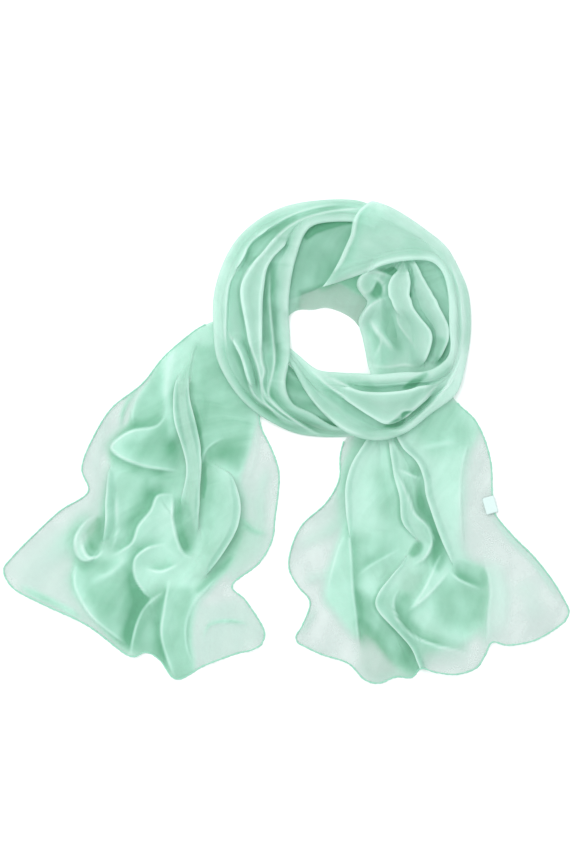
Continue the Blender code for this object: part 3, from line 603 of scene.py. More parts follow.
INNER_AREAS = (
    ("hole side", 0.0, -0.3, 16.0,
     ((79, 134), (101, 132), (107, 110), (115, 88), (87, 78), (81, 100))),
    ("recess behind the petals", 1.0, -0.2, 9.0,
     ((133, 177), (147, 176), (160, 160), (164, 130), (163, 120), (151, 142), (139, 166))),
    ("bright triangle", 1.0, -0.7, 6.0,
     ((152, 104), (160, 100), (162, 90), (155, 74), (149, 84))),
    ("recess in the middle", 0.3, -0.1, 22.0,
     ((101, 122), (115, 110), (127, 84), (123, 74), (113, 88), (101, 105))),
    ("dark hole", 2.0, -2.0, 2.5,
     ((99, 168), (107, 172), (112, 169), (107, 164))),
    ("beside the dark hole", 1.0, -0.7, 4.0,
     ((86, 170), (100, 167), (109, 172), (105, 177))),
    ("pocket of the swirl", 1.0, -0.5, 4.5,
     ((92, 157), (95, 153), (95, 148), (94, 143), (90, 141), (85, 145), (88, 149), (91, 154))),
    ("slit beside the leaf", 1.0, -1.0, 2.5,
     ((124, 149), (126, 145), (125, 141), (123, 145))),
)
BACK_AREAS = (
    ("gap under the left turn", 1.5, -1.2, 5.0,
     ((77, 227), (50, 221), (23, 211), (21, 200), (33, 207), (55, 214), (75, 218))),
    ("shaded by the end strip", 1.0, -0.3, 12.0,
     ((67, 215), (73, 200), (60, 170), (41, 152), (37, 156), (55, 182))),
    # painted shadow under the wide band
    ("green wedge by the swirl", 1.0, -0.7, 5.0,
     ((53, 159), (75, 166), (89, 144), (77, 145), (63, 153))),
    # the strip lies low in the opening: fewer layers and painted shade
    ("strip at the hole", -0.9, -0.7, 8.0,
     ((15, 148), (45, 156), (56, 157), (71, 147), (93, 140), (91, 100), (55, 124), (17, 128))),
)


# ---------------------------------------------------------------- numbers
def ease(share):
    """0 to 1 with soft ends."""
    share = np.clip(share, 0.0, 1.0)
    return share * share * (3 - 2 * share)


def catmull(four, part):
    """A value between the middle two of four, on a smooth curve through them."""
    a, b, c, d = four
    return b + 0.5 * part * (
        c - a + part * (2 * a - 5 * b + 4 * c - d + part * (3 * (b - c) + d - a))
    )


def rows_between(table, steps):
    """Rows of a table at places counted in table rows, on smooth curves through them."""
    table = np.asarray(table, float)
    last = len(table) - 1
    low = np.clip(np.floor(steps).astype(int), 0, last - 1)
    four = [table[np.clip(low + shift, 0, last)] for shift in (-1, 0, 1, 2)]
    return catmull(four, (np.asarray(steps) - low)[:, None])


def run_of(points):
    """Length along a line of points, from its first one."""
    steps = np.linalg.norm(np.diff(points, axis=0), axis=1)
    return np.concatenate([[0.0], np.cumsum(steps)])


def smooth_line(places, spacing):
    """Evenly spaced points on a smooth curve through a few places."""
    fine = rows_between(places, np.linspace(0, len(places) - 1, FINE * len(places)))
    return spaced(fine, spacing)


def spaced(line, spacing):
    """A line's points, spaced evenly again."""
    run = run_of(line)
    goal = np.linspace(0, run[-1], max(int(run[-1] / spacing), 2) + 1)
    return np.stack([np.interp(goal, run, line[:, k]) for k in range(line.shape[1])], 1)


def softened(values, reach):
    """Values along the first axis, averaged with their neighbours."""
    half = int(3 * reach) + 1
    weights = np.exp(-0.5 * (np.arange(-half, half + 1) / reach) ** 2)
    weights /= weights.sum()
    first, last = np.repeat(values[:1], half, 0), np.repeat(values[-1:], half, 0)
    padded = np.concatenate([first, values, last])
    return sum(w * padded[k : k + len(values)] for k, w in enumerate(weights))


# ---------------------------------------------------------------- grounds
RING_ROWS = np.array(RING, float)


def ring_at(x, y):
    """Reach from the ring's middle; the outer, opening, crown and core values there."""
    dx, dy = x - RING_CENTRE[0], y - RING_CENTRE[1]
    place = (np.degrees(np.arctan2(dy, dx)) % 360) / (360 / len(RING_ROWS))
    low = np.floor(place).astype(int)
    four = [RING_ROWS[(low + shift) % len(RING_ROWS)][..., 1:] for shift in (-1, 0, 1, 2)]
    row = catmull(four, (place - low)[..., None])
    return np.hypot(dx, dy), row[..., 0], row[..., 1], row[..., 2], row[..., 3]


def quarter_round(share):
    """0 at an edge, 1 from where the surface levels out, rounded between."""
    return 1 - (1 - np.clip(share, 0.0, 1.0)) ** 2


def crown(x, y):
    """Height of the wound ring's top, before the shown folds."""
    reach, outer, opening, height, _ = ring_at(x, y)
    outside = quarter_round((outer - reach) / OUTER_SHOULDER)
    return height * outside * quarter_round((reach - opening) / INNER_SHOULDER)


def core_top(x, y):
    """Height of the hidden turns, 0 beside them."""
    reach, outer, _, _, inner = ring_at(x, y)
    beside = np.maximum(np.maximum(inner - reach, reach - outer + CORE_INSET), 0.0)
    return (np.maximum(crown(x, y) - CORE_DROP, 1.5) + 0.6) * ease(1.3 - beside / 6)


def table_top(x, y):
    """The tails lie on the table itself."""
    return np.zeros_like(x)


# ---------------------------------------------------------------- stretches
class Stretch:
    """A length of cloth lofted through sections, with its folds laid along it."""

    def __init__(self, sections, spacing, ends=None):
        # a section that states no seats has its edges on the table
        table = np.array([[*s[0], *s[1], *s[2:], 0, 0][:7] for s in sections], float)
        self.last = len(table) - 1
        fine = np.linspace(0, self.last, FINE * self.last + 1)
        rows = rows_between(table, fine)
        run = 0.5 * run_of(rows[:, :2]) + 0.5 * run_of(rows[:, 2:4])
        self.length = run[-1]
        self.run = np.linspace(0, run[-1], int(run[-1] / spacing) + 1)
        self.steps = np.interp(self.run, run, fine)
        rows = rows_between(table, self.steps)
        self.first, self.second, self.lift = rows[:, :2], rows[:, 2:4], rows[:, 4]
        self.seats = (rows[:, 5], rows[:, 6])
        self.width = np.linalg.norm(self.second - self.first, axis=1)
        self.rims = []
        # a short stretch bends to its ends over half its length, a long one over 2.5 sections
        bend = 0.5 * self.last if self.last < 14 else 2.5
        for end, border in zip((0, self.last), ends or ()):
            bent = ease(1 - np.abs(self.steps - end) / bend) ** 1.5
            chord = table[end, :2], table[end, 2:4]
            rim = rows_between(border, np.linspace(0, len(border) - 1, RIM_STEPS))
            self.rims.append((bent[:, None, None], chord, rim))

    def place(self, share):
        """Where shares of the way across every row are, seen from above."""
        share = share[..., None]
        point = (1 - share) * self.first[:, None] + share * self.second[:, None]
        held = np.clip(share, 0, 1)
        for bent, chord, rim in self.rims:
            at = np.linspace(0, 1, len(rim))
            on_rim = np.stack([np.interp(held[..., 0], at, rim[:, k]) for k in (0, 1)], -1)
            point = point + bent * (on_rim - (1 - held) * chord[0] - held * chord[1])
        return point

    def trace(self, places, fades):
        """Share across every row, strength and presence there, of a fold seen from above."""
        count = len(self.run)
        last = TRACE_COLUMNS - 1
        shares = np.linspace(0, 1, TRACE_COLUMNS)
        net = self.place(np.broadcast_to(shares, (count, TRACE_COLUMNS)))
        flat = net.reshape(-1, 2)
        found = []
        for point in smooth_line(places, 1.5):
            i, j = divmod(int(np.argmin(((flat - point) ** 2).sum(1))), TRACE_COLUMNS)
            above, below = max(i - 1, 0), min(i + 1, count - 1)
            near, far = max(j - 1, 0), min(j + 1, last)
            down = (net[below, j] - net[above, j]) / (below - above)
            over = (net[i, far] - net[i, near]) / (far - near)
            slopes = np.stack([down, over], 1) + 1e-9 * np.eye(2)
            a, b = np.linalg.solve(slopes, point - net[i, j])
            if abs(a) < 2 and abs(b) < 4:
                found.append((i + a, (j + b) / last))
        found = np.array(sorted(found))
        rows = np.arange(count)
        share = softened(np.interp(rows, found[:, 0], found[:, 1]), 1.5)
        pace = self.length / (count - 1)
        into, left = (rows - found[0, 0]) * pace, (found[-1, 0] - rows) * pace
        # a fold that reaches the stretch's end doesn't fade there
        if found[0, 0] < 3:
            into = into + 1e3
        if found[-1, 0] > count - 4:
            left = left + 1e3
        strength = np.clip(np.minimum(into / fades[0], left / fades[1]), 0, 1)
        return share, strength, ease(1 + np.minimum(np.minimum(into, left), 0) / 40)


def parted(places, presence, starts, stops, least):
    """Places of the folds across every row, none nearer than least; absent folds give way."""
    count = len(places)
    places = list(places)
    here = np.stack(presence)
    for k in range(count):
        low, high = starts + least, stops - least
        for m in range(k):
            low = np.where(here[m] > 0.6, places[m], low)
        for m in reversed(range(k + 1, count)):
            high = np.where(here[m] > 0.6, places[m], high)
        low, high = np.minimum(low + least, high), np.maximum(high - least, low)
        neutral = np.clip(places[k], low, high)
        places[k] = neutral + (places[k] - neutral) * here[k]
    bound = [starts, *places, stops]
    slack = [0 * starts, *(1.03 - p for p in presence), 0 * starts]
    for _ in range(SETTLE_ROUNDS):
        for k in range(count + 1):
            short = np.maximum(least - (bound[k + 1] - bound[k]), 0)
            share = slack[k] / (slack[k] + slack[k + 1] + 1e-9)
            bound[k] = bound[k] - short * share
            bound[k + 1] = bound[k + 1] + short * (1 - share) * (k < count)
    tightest = 0.6 * least
    for k in range(1, count + 1):
        bound[k] = np.maximum(bound[k], bound[k - 1] + tightest)
    for k in reversed(range(1, count + 1)):
        bound[k] = np.minimum(bound[k], bound[k + 1] - tightest)
    return [softened(place, 1.5) for place in bound[1:-1]]


# painted shading and extra layers at the eight places of a fold, from its valley over its nose:
# painted shade in the valley beside the nose, a painted highlight along the nose
FOLD_PAINTED_SHADING = (-0.4, -0.6, -0.5, 0.3, 1.3, 1.2, 0.2, 0.0)
FOLD_PLIES = (0.5, -1.2, -1.4, 0.0, 0.8, 0.5, 0.1, 0.0)
SLACK = 7.0  # how far a loose fold reaches beyond its line, in mm


def fold_shape(valley, roof, tuck, rise, turned, strength):
    """A fold's path over its nose: loose where it fades out, tucked where it is full."""
    full, none = np.ones(len(valley)), np.zeros(len(valley))
    slack = np.minimum(SLACK, roof)
    span = 0.6 * valley + 0.4 * slack
    low = np.minimum(rise, 1.1 * span * np.minimum(1.0, span / 3.2))
    rise = low + (rise - low) * ease((tuck - 1.0) / 2)
    ply = 0.34 * rise + (np.minimum(PLY, 0.45 * rise) - 0.34 * rise) * turned
    tuck = np.maximum(tuck, 0.0)
    loose = (
        -valley, -0.6 * valley, -0.25 * valley,
        0.1 * slack, 0.25 * slack, 0.4 * slack, 0.6 * slack, slack,
    )
    tight = (
        -np.minimum(valley, 2.4), tuck, tuck,
        NOSE * full, none, NOSE * full, NOSE + 2.4 * full, tuck + 3.5,
    )
    heights = (none, none, ply, rise - ply, rise - ply / 2, rise, 0.98 * rise, 0.86 * rise)
    shape = []
    for a, b, height, tone, more in zip(loose, tight, heights, FOLD_PAINTED_SHADING, FOLD_PLIES):
        across = (1 - turned) * a + turned * b
        deeper = more * (strength if more > 0 else turned)
        shape.append((across, height, tone * strength * turned, deeper))
    return shape


def profile(stretch, folds, edges, ground, pressed=0.0, bed=None, least=5.0):
    """The cloth's path across every row: across, height, share of the ground, painted shading,
    layers.
    """
    width, rows = stretch.width, len(stretch.run)
    wide = [np.minimum(EDGE_BAND, width / 3) if edge else 0 * width for edge in edges]
    starts, stops = wide[0], width - wide[1]
    least = np.minimum(least, 0.9 * (stops - starts) / (len(folds) + 1))
    traced = [stretch.trace(fold[6], fold[4:6]) for fold in folds]
    places = [row[0] * width for row in traced]
    if folds:
        places = parted(places, [row[2] for row in traced], starts, stops, least)
    bound = [starts, *places, stops]
    sides = [0, *(fold[1] for fold in folds), 0]
    flat = 1.0 - pressed * ease(1 - stretch.steps / 2.2)
    full = np.ones(rows)
    path, opens = edge_path(stretch, ground, 0, edges[0], bed), []
    for k, (fold, (_, strength, _)) in enumerate(zip(folds, traced), start=1):
        side = fold[1]
        before, beyond = (k + 1, k - 1) if side > 0 else (k - 1, k + 1)
        valley = np.minimum(VALLEY, 0.25 * np.abs(bound[before] - bound[k]))
        gap = np.abs(bound[beyond] - bound[k])
        # a tuck may reach to the next fold, or halfway if that one's nose faces it
        roof = 0.47 * gap if sides[beyond] == -side else gap - (3.8 if sides[beyond] else 1.5)
        roof = np.maximum(roof, 0.3 * gap)
        tuck = np.minimum(fold[2], roof - 4.0) * (0.12 + 0.88 * ease(strength))
        rise = fold[3] * ease(1.8 * strength) * ease((least - 0.8) / 2.6) * flat
        # how far the fold is turned right over, not only raised
        turned = ease((strength - 0.1) / 0.3) * ease((tuck - 1.0) / 2)
        turned = turned * ease((rise - 1.6 * PLY) / 1.5)
        shape = fold_shape(valley, roof, tuck, rise, turned, strength)
        if side > 0:
            shape = [(-across, *rest) for across, *rest in reversed(shape)]
        opens.append(len(path) - 1)
        for across, height, tone, more in shape:
            path.append((places[k - 1] + across, height, full, tone, more))
    opens.append(len(path) - 1)
    path += edge_path(stretch, ground, 1, edges[1], bed)
    return np.stack([np.stack(np.broadcast_arrays(*point), -1) for point in path], 1), opens


def edge_path(stretch, ground, end, roll, bed):
    """A long edge: plain, or rolled under over what it is seated on."""
    width = stretch.width
    none = 0 * width
    if not roll:
        return [(end * width, none, none + 1, none, none)]
    under, shoulder = np.minimum(6.0, width / 5), np.minimum(EDGE_BAND, width / 3)

    def spot(reach):
        return stretch.place((np.abs(end * width - reach) / width)[:, None])[:, 0]

    seat = stretch.seats[end].copy()
    if bed:
        seat += np.maximum(bed(*spot(none).T), bed(*spot(under).T))
    high = roll * np.minimum(1.0, width / 24)
    top = np.maximum(seat + SEAT_GAP + 0.9 * high, ground(*spot(shoulder).T) + stretch.lift)
    # each spot's last value is painted shading: painted shade under the roll, a painted highlight
    # along its top
    spots = (
        (under, seat + 0.7, -0.5),
        (none + 1.4, seat + SEAT_GAP, -0.5),
        (none, seat + SEAT_GAP + 0.45 * high, 0.2),
        (none + 1.6, seat + SEAT_GAP + high, 0.8),
        (shoulder, top, 0.0),
    )
    path = [(np.abs(end * width - s), z, none, none + tone, none) for s, z, tone in spots]
    return path[::-1] if end else path


def rounded(path, opens, longest, cut=5.0, puff=0.06, most=2.2):
    """Samples of a path with its corners rounded and its open spans puffed up."""
    count = path.shape[1]
    length = np.linalg.norm(np.diff(path[..., :2], axis=1), axis=2) + 1e-6
    out, last = [path[:, 0]], path[:, 0]
    for k in range(1, count):
        if k < count - 1:
            reach = np.minimum(cut, 0.5 * np.minimum(length[:, k - 1], length[:, k]))
            enter = path[:, k] + (path[:, k - 1] - path[:, k]) * (reach / length[:, k - 1])[:, None]
            leave = path[:, k] + (path[:, k + 1] - path[:, k]) * (reach / length[:, k])[:, None]
        else:
            enter = path[:, k]
        gap = np.linalg.norm((enter - last)[:, :2], axis=1).max()
        pieces = max(int(np.ceil(gap / longest)), 1)
        arch = np.zeros(len(path))
        if k - 1 in opens:
            arch = np.minimum(most, puff * length[:, k - 1]) * ease((length[:, k - 1] - 5) / 10)
        for m in range(1, pieces):
            share = m / pieces
            point = last + (enter - last) * share
            point[:, 1] += arch * math.sin(math.pi * share) ** 2
            out.append(point)
        out.append(enter)
        if k < count - 1:
            for t in (0.33, 0.67):
                out.append((1 - t) ** 2 * enter + 2 * t * (1 - t) * path[:, k] + t * t * leave)
            out.append(leave)
            last = leave
    return np.stack(out, 1)


def creased(points, tone, plies_and_shade, creases):
    """Adds each crease's share to the points' heights, painted shading and layers.

    A ridge or a trough is the same on both sides of its line. A lip is high on the left
    of someone who walks along it, with a painted highlight on its crest and painted shade just
    beyond it.
    """
    x, y = points[..., 0], points[..., 1]
    for _, form, height, reach, more, crest, recess, places in creases:
        line = smooth_line(places, 2.0)
        run = run_of(line)
        far = 3.0 * reach + 14
        near = (x > line[:, 0].min() - far) & (x < line[:, 0].max() + far)
        near &= (y > line[:, 1].min() - far) & (y < line[:, 1].max() + far)
        spots = np.stack([x[near], y[near]], 1)
        best = np.full(len(spots), 1e9)
        side, along = np.zeros(len(spots)), np.zeros(len(spots))
        for a, b, start in zip(line[:-1], line[1:], run):
            step = b - a
            long = np.hypot(*step)
            share = np.clip(((spots - a) @ step) / long**2, 0, 1)
            off = spots - a - share[:, None] * step
            gap = np.hypot(off[:, 0], off[:, 1])
            hit = gap < best
            best[hit] = gap[hit]
            side[hit] = (step[0] * off[hit, 1] - step[1] * off[hit, 0]) / long
            along[hit] = start + share[hit] * long
        side = np.sign(side) * best
        taper = min(24.0, 0.4 * run[-1])
        held = ease(np.minimum(along, run[-1] - along) / taper + 0.1)
        # no crease keeps quite the same height along its whole length
        held = held * (0.88 + 0.12 * np.sin(along / 7 + reach))
        if form == "lip":
            step_up = ease((side + 1.5) / 3.0)
            body = np.exp(-((np.maximum(side, 0) / reach) ** 2)) * step_up
            # painted highlight along the lip's crest and faintly over its high side
            lit = 1.1 * np.exp(-(((side - 1.6) / 1.25) ** 2)) + 0.2 * body
            # painted shade on the low side, just beyond the lip
            shadow = np.exp(-((np.minimum(side, 0) / 8) ** 2)) * (1 - step_up)
            points[near, 2] -= 0.3 * height * np.exp(-(((side + 5) / 4) ** 2)) * held
        else:
            body = np.exp(-((side / reach) ** 2))
            # painted highlight along the ridge, painted shade where its crest value is below 0
            lit, shadow = np.exp(-((side / (0.8 * reach)) ** 2)), 0 * side
        points[near, 2] += height * body * held
        # extra layers, and more where the recess's painted shade falls, so that the shade is darker
        # and less sheer
        plies_and_shade[near] += (more * body - 1.6 * min(recess, 0) * shadow) * held
        # painted highlight on the crest, painted shade in the recess
        tone[near] += (crest * lit + recess * shadow) * held


def shaded(points, tone, plies_and_shade, areas):
    """Adds each soft-edged area's extra layers and painted shading."""
    for _, more, deeper, fade, places in areas:
        ring = smooth_line((*places, places[0]), 3.0)
        x, y = points[..., 0], points[..., 1]
        near = (x > ring[:, 0].min() - fade) & (x < ring[:, 0].max() + fade)
        near &= (y > ring[:, 1].min() - fade) & (y < ring[:, 1].max() + fade)
        px, py = x[near], y[near]
        gap, inside = np.full(len(px), 1e9), np.zeros(len(px), bool)
        for a, b in zip(ring[:-1], ring[1:]):
            step = b - a
            share = (px - a[0]) * step[0] + (py - a[1]) * step[1]
            share = np.clip(share / (step @ step), 0, 1)
            off = np.hypot(px - a[0] - share * step[0], py - a[1] - share * step[1])
            gap = np.minimum(gap, off)
            crosses = (a[1] > py) != (b[1] > py)
            if step[1]:
                inside ^= crosses & (px < a[0] + (py - a[1]) * step[0] / step[1])
        weight = ease(0.5 + np.where(inside, gap, -gap) / fade)
        # painted shade where the area's value is below 0, painted light where above; in gaps extra
        # layers darken it
        plies_and_shade[near] += more * weight
        tone[near] += deeper * weight


def ripple(x, y, seed, long):
    """A slow, uneven swell from a few crossing waves, about 1 high."""
    waves = 7
    draw = np.random.default_rng(seed)
    total = np.zeros_like(x)
    for _ in range(waves):
        heading, size = draw.uniform(0, math.tau), long * draw.uniform(0.6, 1.7)
        wave = (x * math.cos(heading) + y * math.sin(heading)) * math.tau / size
        total += np.sin(wave + draw.uniform(0, math.tau))
    return total / 3.2


def sheet_mesh(name, points, tone, plies_and_shade, path_mm, run_mm):
    """A grid of points (mm) as a named sheet with its UV map and attributes."""
    rows, columns = points.shape[:2]
    number = np.arange(rows * columns).reshape(rows, columns)
    corners = number[:-1, :-1], number[:-1, 1:], number[1:, 1:], number[1:, :-1]
    faces = np.stack(corners, -1).reshape(-1, 4)
    a, b, c, d = (points.reshape(-1, 3)[faces[:, k]] for k in range(4))
    if np.cross(c - a, d - b)[:, 2].sum() < 0:
        faces = faces[:, ::-1]
    mesh = bpy.data.meshes.new(name)
    mesh.from_pydata((points.reshape(-1, 3) * MM).tolist(), [], faces.tolist())
    # the painted shading, and the layers with the painted shade they stand in for, as point
    # attributes
    for title, values in (("tone", tone), ("plies_and_shade", plies_and_shade)):
        layer = mesh.attributes.new(title, "FLOAT", "POINT")
        layer.data.foreach_set("value", values.astype(np.float32).ravel())
    weave = mesh.uv_layers.new(name="weave")
    run_mm = np.broadcast_to(run_mm[:, None], path_mm.shape)
    flat = np.stack([path_mm.ravel(), run_mm.ravel()], 1) * MM
    loops = np.zeros(len(mesh.loops), np.int32)
    mesh.loops.foreach_get("vertex_index", loops)
    weave.data.foreach_set("uv", flat[loops].astype(np.float32).ravel())
    mesh.shade_smooth()
    return placed(name, mesh)


def placed(name, mesh):
    """A mesh as a named object at the origin."""
    item = bpy.data.objects.new(name, mesh)
    bpy.context.scene.collection.objects.link(item)
    return item


def declare(item, node):
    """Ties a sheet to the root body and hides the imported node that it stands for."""
    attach(item, ROOT)
    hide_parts(node)


def lay(
    name, sections, folds, creases, areas, edges, ground, base, swell,
    ends=None, bed=None, pressed=0.0, light=0.0,
):
    """One stretch of the scarf, from its tables to its sheet; gives back it and its points.

    edges are the sizes of the rolls along the two long edges, 0 for a plain one.
    base is the layers of the cloth lying flat, and light a painted lightening of the whole stretch,
    painted shade below 0. swell is the height of its slow unevenness, the length of those waves and
    their seed. bed is what the edges are seated on, and pressed how much flatter the folds are at
    the start.
    """
    sizes = bpy.context.scene.scarf_sizes
    spacing = sizes.net / MM
    stretch = Stretch(sections, spacing, ends)
    path, opens = profile(stretch, folds, edges, ground, pressed, bed=bed)
    path = rounded(path, opens, spacing)
    path[..., 1:] = softened(path[..., 1:], 1.2)
    path[..., 0] = softened(path[..., 0], 1.0)
    place = stretch.place(path[..., 0] / stretch.width[:, None])
    x, y = place[..., 0], place[..., 1]
    height = path[..., 1] + path[..., 2] * (stretch.lift[:, None] + ground(x, y))
    height = height + swell[0] * (1 + ripple(x, y, swell[2], swell[1])) * path[..., 2]
    points = np.stack([x, y, height], -1)
    # painted shading: the stretch's painted lightening, with the folds' and rolled edges' painted
    # highlights and shade
    tone, plies_and_shade = light + path[..., 3], base + path[..., 4]
    creased(points, tone, plies_and_shade, creases)
    shaded(points, tone, plies_and_shade, areas)
    low = np.minimum(points[..., 2] - 2 * CLEAR, 0)
    points[..., 2] = np.where(low < 0, CLEAR + CLEAR * np.exp(low / CLEAR), points[..., 2])
    along = np.cumsum(np.linalg.norm(np.diff(points, axis=1), axis=2), axis=1)
    along = np.concatenate([np.zeros((len(points), 1)), along], 1)
    return sheet_mesh(name, points, np.clip(tone, -1, 1), plies_and_shade, along, stretch.run), points


def tube(name, line, radius, sides=6):
    """The thin closed tube of a rolled hem along a line of points (mm), as a named mesh."""
    line = spaced(line, HEM_STEP)
    ahead = np.gradient(line, axis=0)
    ahead /= np.linalg.norm(ahead, axis=1)[:, None] + 1e-9
    over = np.cross(ahead, (0.13, 0.07, 1.0))
    over /= np.linalg.norm(over, axis=1)[:, None] + 1e-9
    up = np.cross(over, ahead)
    verts, faces = [], []
    for i, (point, a, b) in enumerate(zip(line, over, up)):
        # stitching draws a rolled hem in here and there
        thick = radius * (1 + 0.22 * math.sin(1.9 * i) + 0.14 * math.sin(0.83 * i + 1))
        for k in range(sides):
            turn = math.tau * k / sides
            verts.append((point + thick * (a * math.cos(turn) + b * math.sin(turn))) * MM)
    for i in range(len(line) - 1):
        low, high = i * sides, (i + 1) * sides
        for k in range(sides):
            m = (k + 1) % sides
            faces.append((low + k, low + m, high + m, high + k))
    last = (len(line) - 1) * sides
    faces.append(tuple(reversed(range(sides))))
    faces.append(tuple(last + k for k in range(sides)))
    mesh = bpy.data.meshes.new(name)
    mesh.from_pydata([tuple(v) for v in verts], [], faces)
    mesh.shade_smooth()
    return placed(name, mesh)


# ---------------------------------------------------------------- materials
def linear(code):
    """An sRGB hex colour as linear red, green, blue and alpha."""
    parts = [int(code[i : i + 2], 16) / 255 for i in (0, 2, 4)]
    return (*(p / 12.92 if p <= 0.04045 else ((p + 0.055) / 1.055) ** 2.4 for p in parts), 1.0)


def add(tree, kind, settings=None, **links):
    """A node of a kind, with its settings, and its sockets' values or links."""
    made = tree.nodes.new(kind)
    for key, value in (settings or {}).items():
        setattr(made, key, value)
    for key, value in links.items():
        socket = made.inputs[int(key[1:]) if key[1:].isdigit() else key.replace("_", " ")]
        if isinstance(value, bpy.types.NodeSocket):
            tree.links.new(value, socket)
        else:
            socket.default_value = value
    return made


def maths(tree, operation, *values, clamp=False):
    """The outcome of a sum of values or sockets."""
    links = {"_%d" % k: value for k, value in enumerate(values)}
    settings = {"operation": operation, "use_clamp": clamp}
    return add(tree, "ShaderNodeMath", settings, **links).outputs[0]


def chiffon(name, thin, deep, mid, pale, let_by, through=0.4):
    """Crepe chiffon: a sheer plain weave of hard-twisted yarns.

    Each layer veils what is under it, so the eye sees the table through one ply
    and full mint through many. Painted shade darkens the recesses and a painted highlight runs along
    the folds' noses.
    """
    material = bpy.data.materials.new(name)
    material.use_nodes = True
    tree = material.node_tree
    tree.nodes.clear()
    tone = add(tree, "ShaderNodeAttribute", {"attribute_name": "tone"})
    plies_and_shade = add(tree, "ShaderNodeAttribute", {"attribute_name": "plies_and_shade"})
    spot = add(tree, "ShaderNodeTexCoord")
    # unevenness of the dye and of how the yarns lie, in patches of about 30 mm
    cloud = add(tree, "ShaderNodeTexNoise", Vector=spot.outputs["Object"], Scale=35.0, Detail=2.0)
    # gathered cloth shows streaks along it, about 20 mm wide and 80 mm long
    weave = add(tree, "ShaderNodeUVMap", {"uv_map": "weave"})
    drawn = add(tree, "ShaderNodeMapping", Vector=weave.outputs["UV"], Scale=(48.0, 12.0, 1.0))
    streak = add(tree, "ShaderNodeTexNoise", Vector=drawn.outputs["Vector"], Scale=1.0, Detail=2.0)
    drift = maths(tree, "MULTIPLY_ADD", cloud.outputs["Fac"], 0.7, -0.75)
    drift = maths(tree, "MULTIPLY_ADD", streak.outputs["Fac"], 0.8, drift)
    total = maths(tree, "ADD", tone.outputs["Fac"], drift)
    # painted shading, with the random drift, picks the colour: painted shade at -1, mint at 0,
    # painted highlight at +1
    share = add(tree, "ShaderNodeMapRange", Value=total, From_Min=-1.0, From_Max=1.0)
    ramp = add(tree, "ShaderNodeValToRGB", Fac=share.outputs[0])
    stops = ramp.color_ramp.elements
    stops[0].color, stops[1].color = linear(deep), linear(pale)
    stops.new(0.5).color = linear(mid)
    # one ply over the table is painted greyer than several together, as painted shade for the shadow
    # it casts under it
    thickness = add(
        tree, "ShaderNodeMapRange", Value=plies_and_shade.outputs["Fac"], From_Min=1.0, From_Max=2.2
    )
    dyed = add(
        tree, "ShaderNodeMix", {"data_type": "RGBA"},
        _0=thickness.outputs[0], _6=linear(thin), _7=ramp.outputs["Color"],
    )
    # crepe yarns are about 0.1 mm apart; drawn as 0.9 mm so that they show at all
    grain = add(
        tree, "ShaderNodeTexNoise", Vector=weave.outputs["UV"],
        Scale=1100.0, Detail=3.0, Roughness=0.7,
    )
    weave_bump = add(
        tree, "ShaderNodeBump", Height=grain.outputs["Fac"], Strength=0.25, Distance=0.0002
    )
    # soft crinkles of crepe that was pressed in its packet, about 6 mm apart
    crinkle = add(
        tree, "ShaderNodeTexNoise", Vector=spot.outputs["Object"],
        Scale=160.0, Detail=3.0, Distortion=0.6,
    )
    bump = add(
        tree, "ShaderNodeBump", Height=crinkle.outputs["Fac"], Strength=0.5, Distance=0.0011,
        Normal=weave_bump.outputs["Normal"],
    )
    body = add(
        tree, "ShaderNodeBsdfPrincipled", Base_Color=dyed.outputs[2], Roughness=0.75,
        IOR=1.5, Sheen_Weight=0.25, Sheen_Roughness=0.5, Normal=bump.outputs["Normal"],
    )
    glow = add(
        tree, "ShaderNodeBsdfTranslucent", Color=dyed.outputs[2], Normal=bump.outputs["Normal"]
    )
    cloth = add(tree, "ShaderNodeMixShader", Fac=through, _1=body.outputs[0], _2=glow.outputs[0])
    clear = add(tree, "ShaderNodeBsdfTransparent")
    # what one ply lets by, to the power of the layers that lie together, counting the extra layers
    # that stand in for painted shade
    layers = maths(tree, "ADD", plies_and_shade.outputs["Fac"], drift)
    open_share = maths(tree, "POWER", let_by, layers)
    uneven = maths(tree, "MULTIPLY_ADD", grain.outputs["Fac"], 0.16, -0.08)
    sheer = maths(tree, "ADD", open_share, uneven, clamp=True)
    both = add(tree, "ShaderNodeMixShader", Fac=sheer, _1=cloth.outputs[0], _2=clear.outputs[0])
    out = add(tree, "ShaderNodeOutputMaterial")
    tree.links.new(both.outputs[0], out.inputs["Surface"])
    return material


def plain(name, colour, roughness, pattern, depth, least=0.86):
    """A matt cloth or paint with a fine raised grain, pattern in grains per metre."""
    material = bpy.data.materials.new(name)
    material.use_nodes = True
    tree = material.node_tree
    tree.nodes.clear()
    spot = add(tree, "ShaderNodeTexCoord")
    grain = add(tree, "ShaderNodeTexNoise", Vector=spot.outputs["Object"], Scale=pattern, Detail=2.0)
    bump = add(tree, "ShaderNodeBump", Height=grain.outputs["Fac"], Strength=0.3, Distance=depth)
    dark = tuple(least * c for c in linear(colour)[:3]) + (1.0,)
    ramp = add(tree, "ShaderNodeValToRGB", Fac=grain.outputs["Fac"])
    ramp.color_ramp.elements[0].color, ramp.color_ramp.elements[1].color = dark, linear(colour)
    body = add(
        tree, "ShaderNodeBsdfPrincipled", Base_Color=ramp.outputs["Color"], Roughness=roughness,
        Normal=bump.outputs["Normal"],
    )
    out = add(tree, "ShaderNodeOutputMaterial")
    tree.links.new(body.outputs[0], out.inputs["Surface"])
    return material


def hex_of(colour):
    """A colour property (linear) as an sRGB hex code."""
    parts = [12.92 * c if c <= 0.0031308 else 1.055 * c ** (1 / 2.4) - 0.055 for c in colour[:3]]
    return "".join("%02X" % round(255 * min(max(p, 0), 1)) for p in parts)


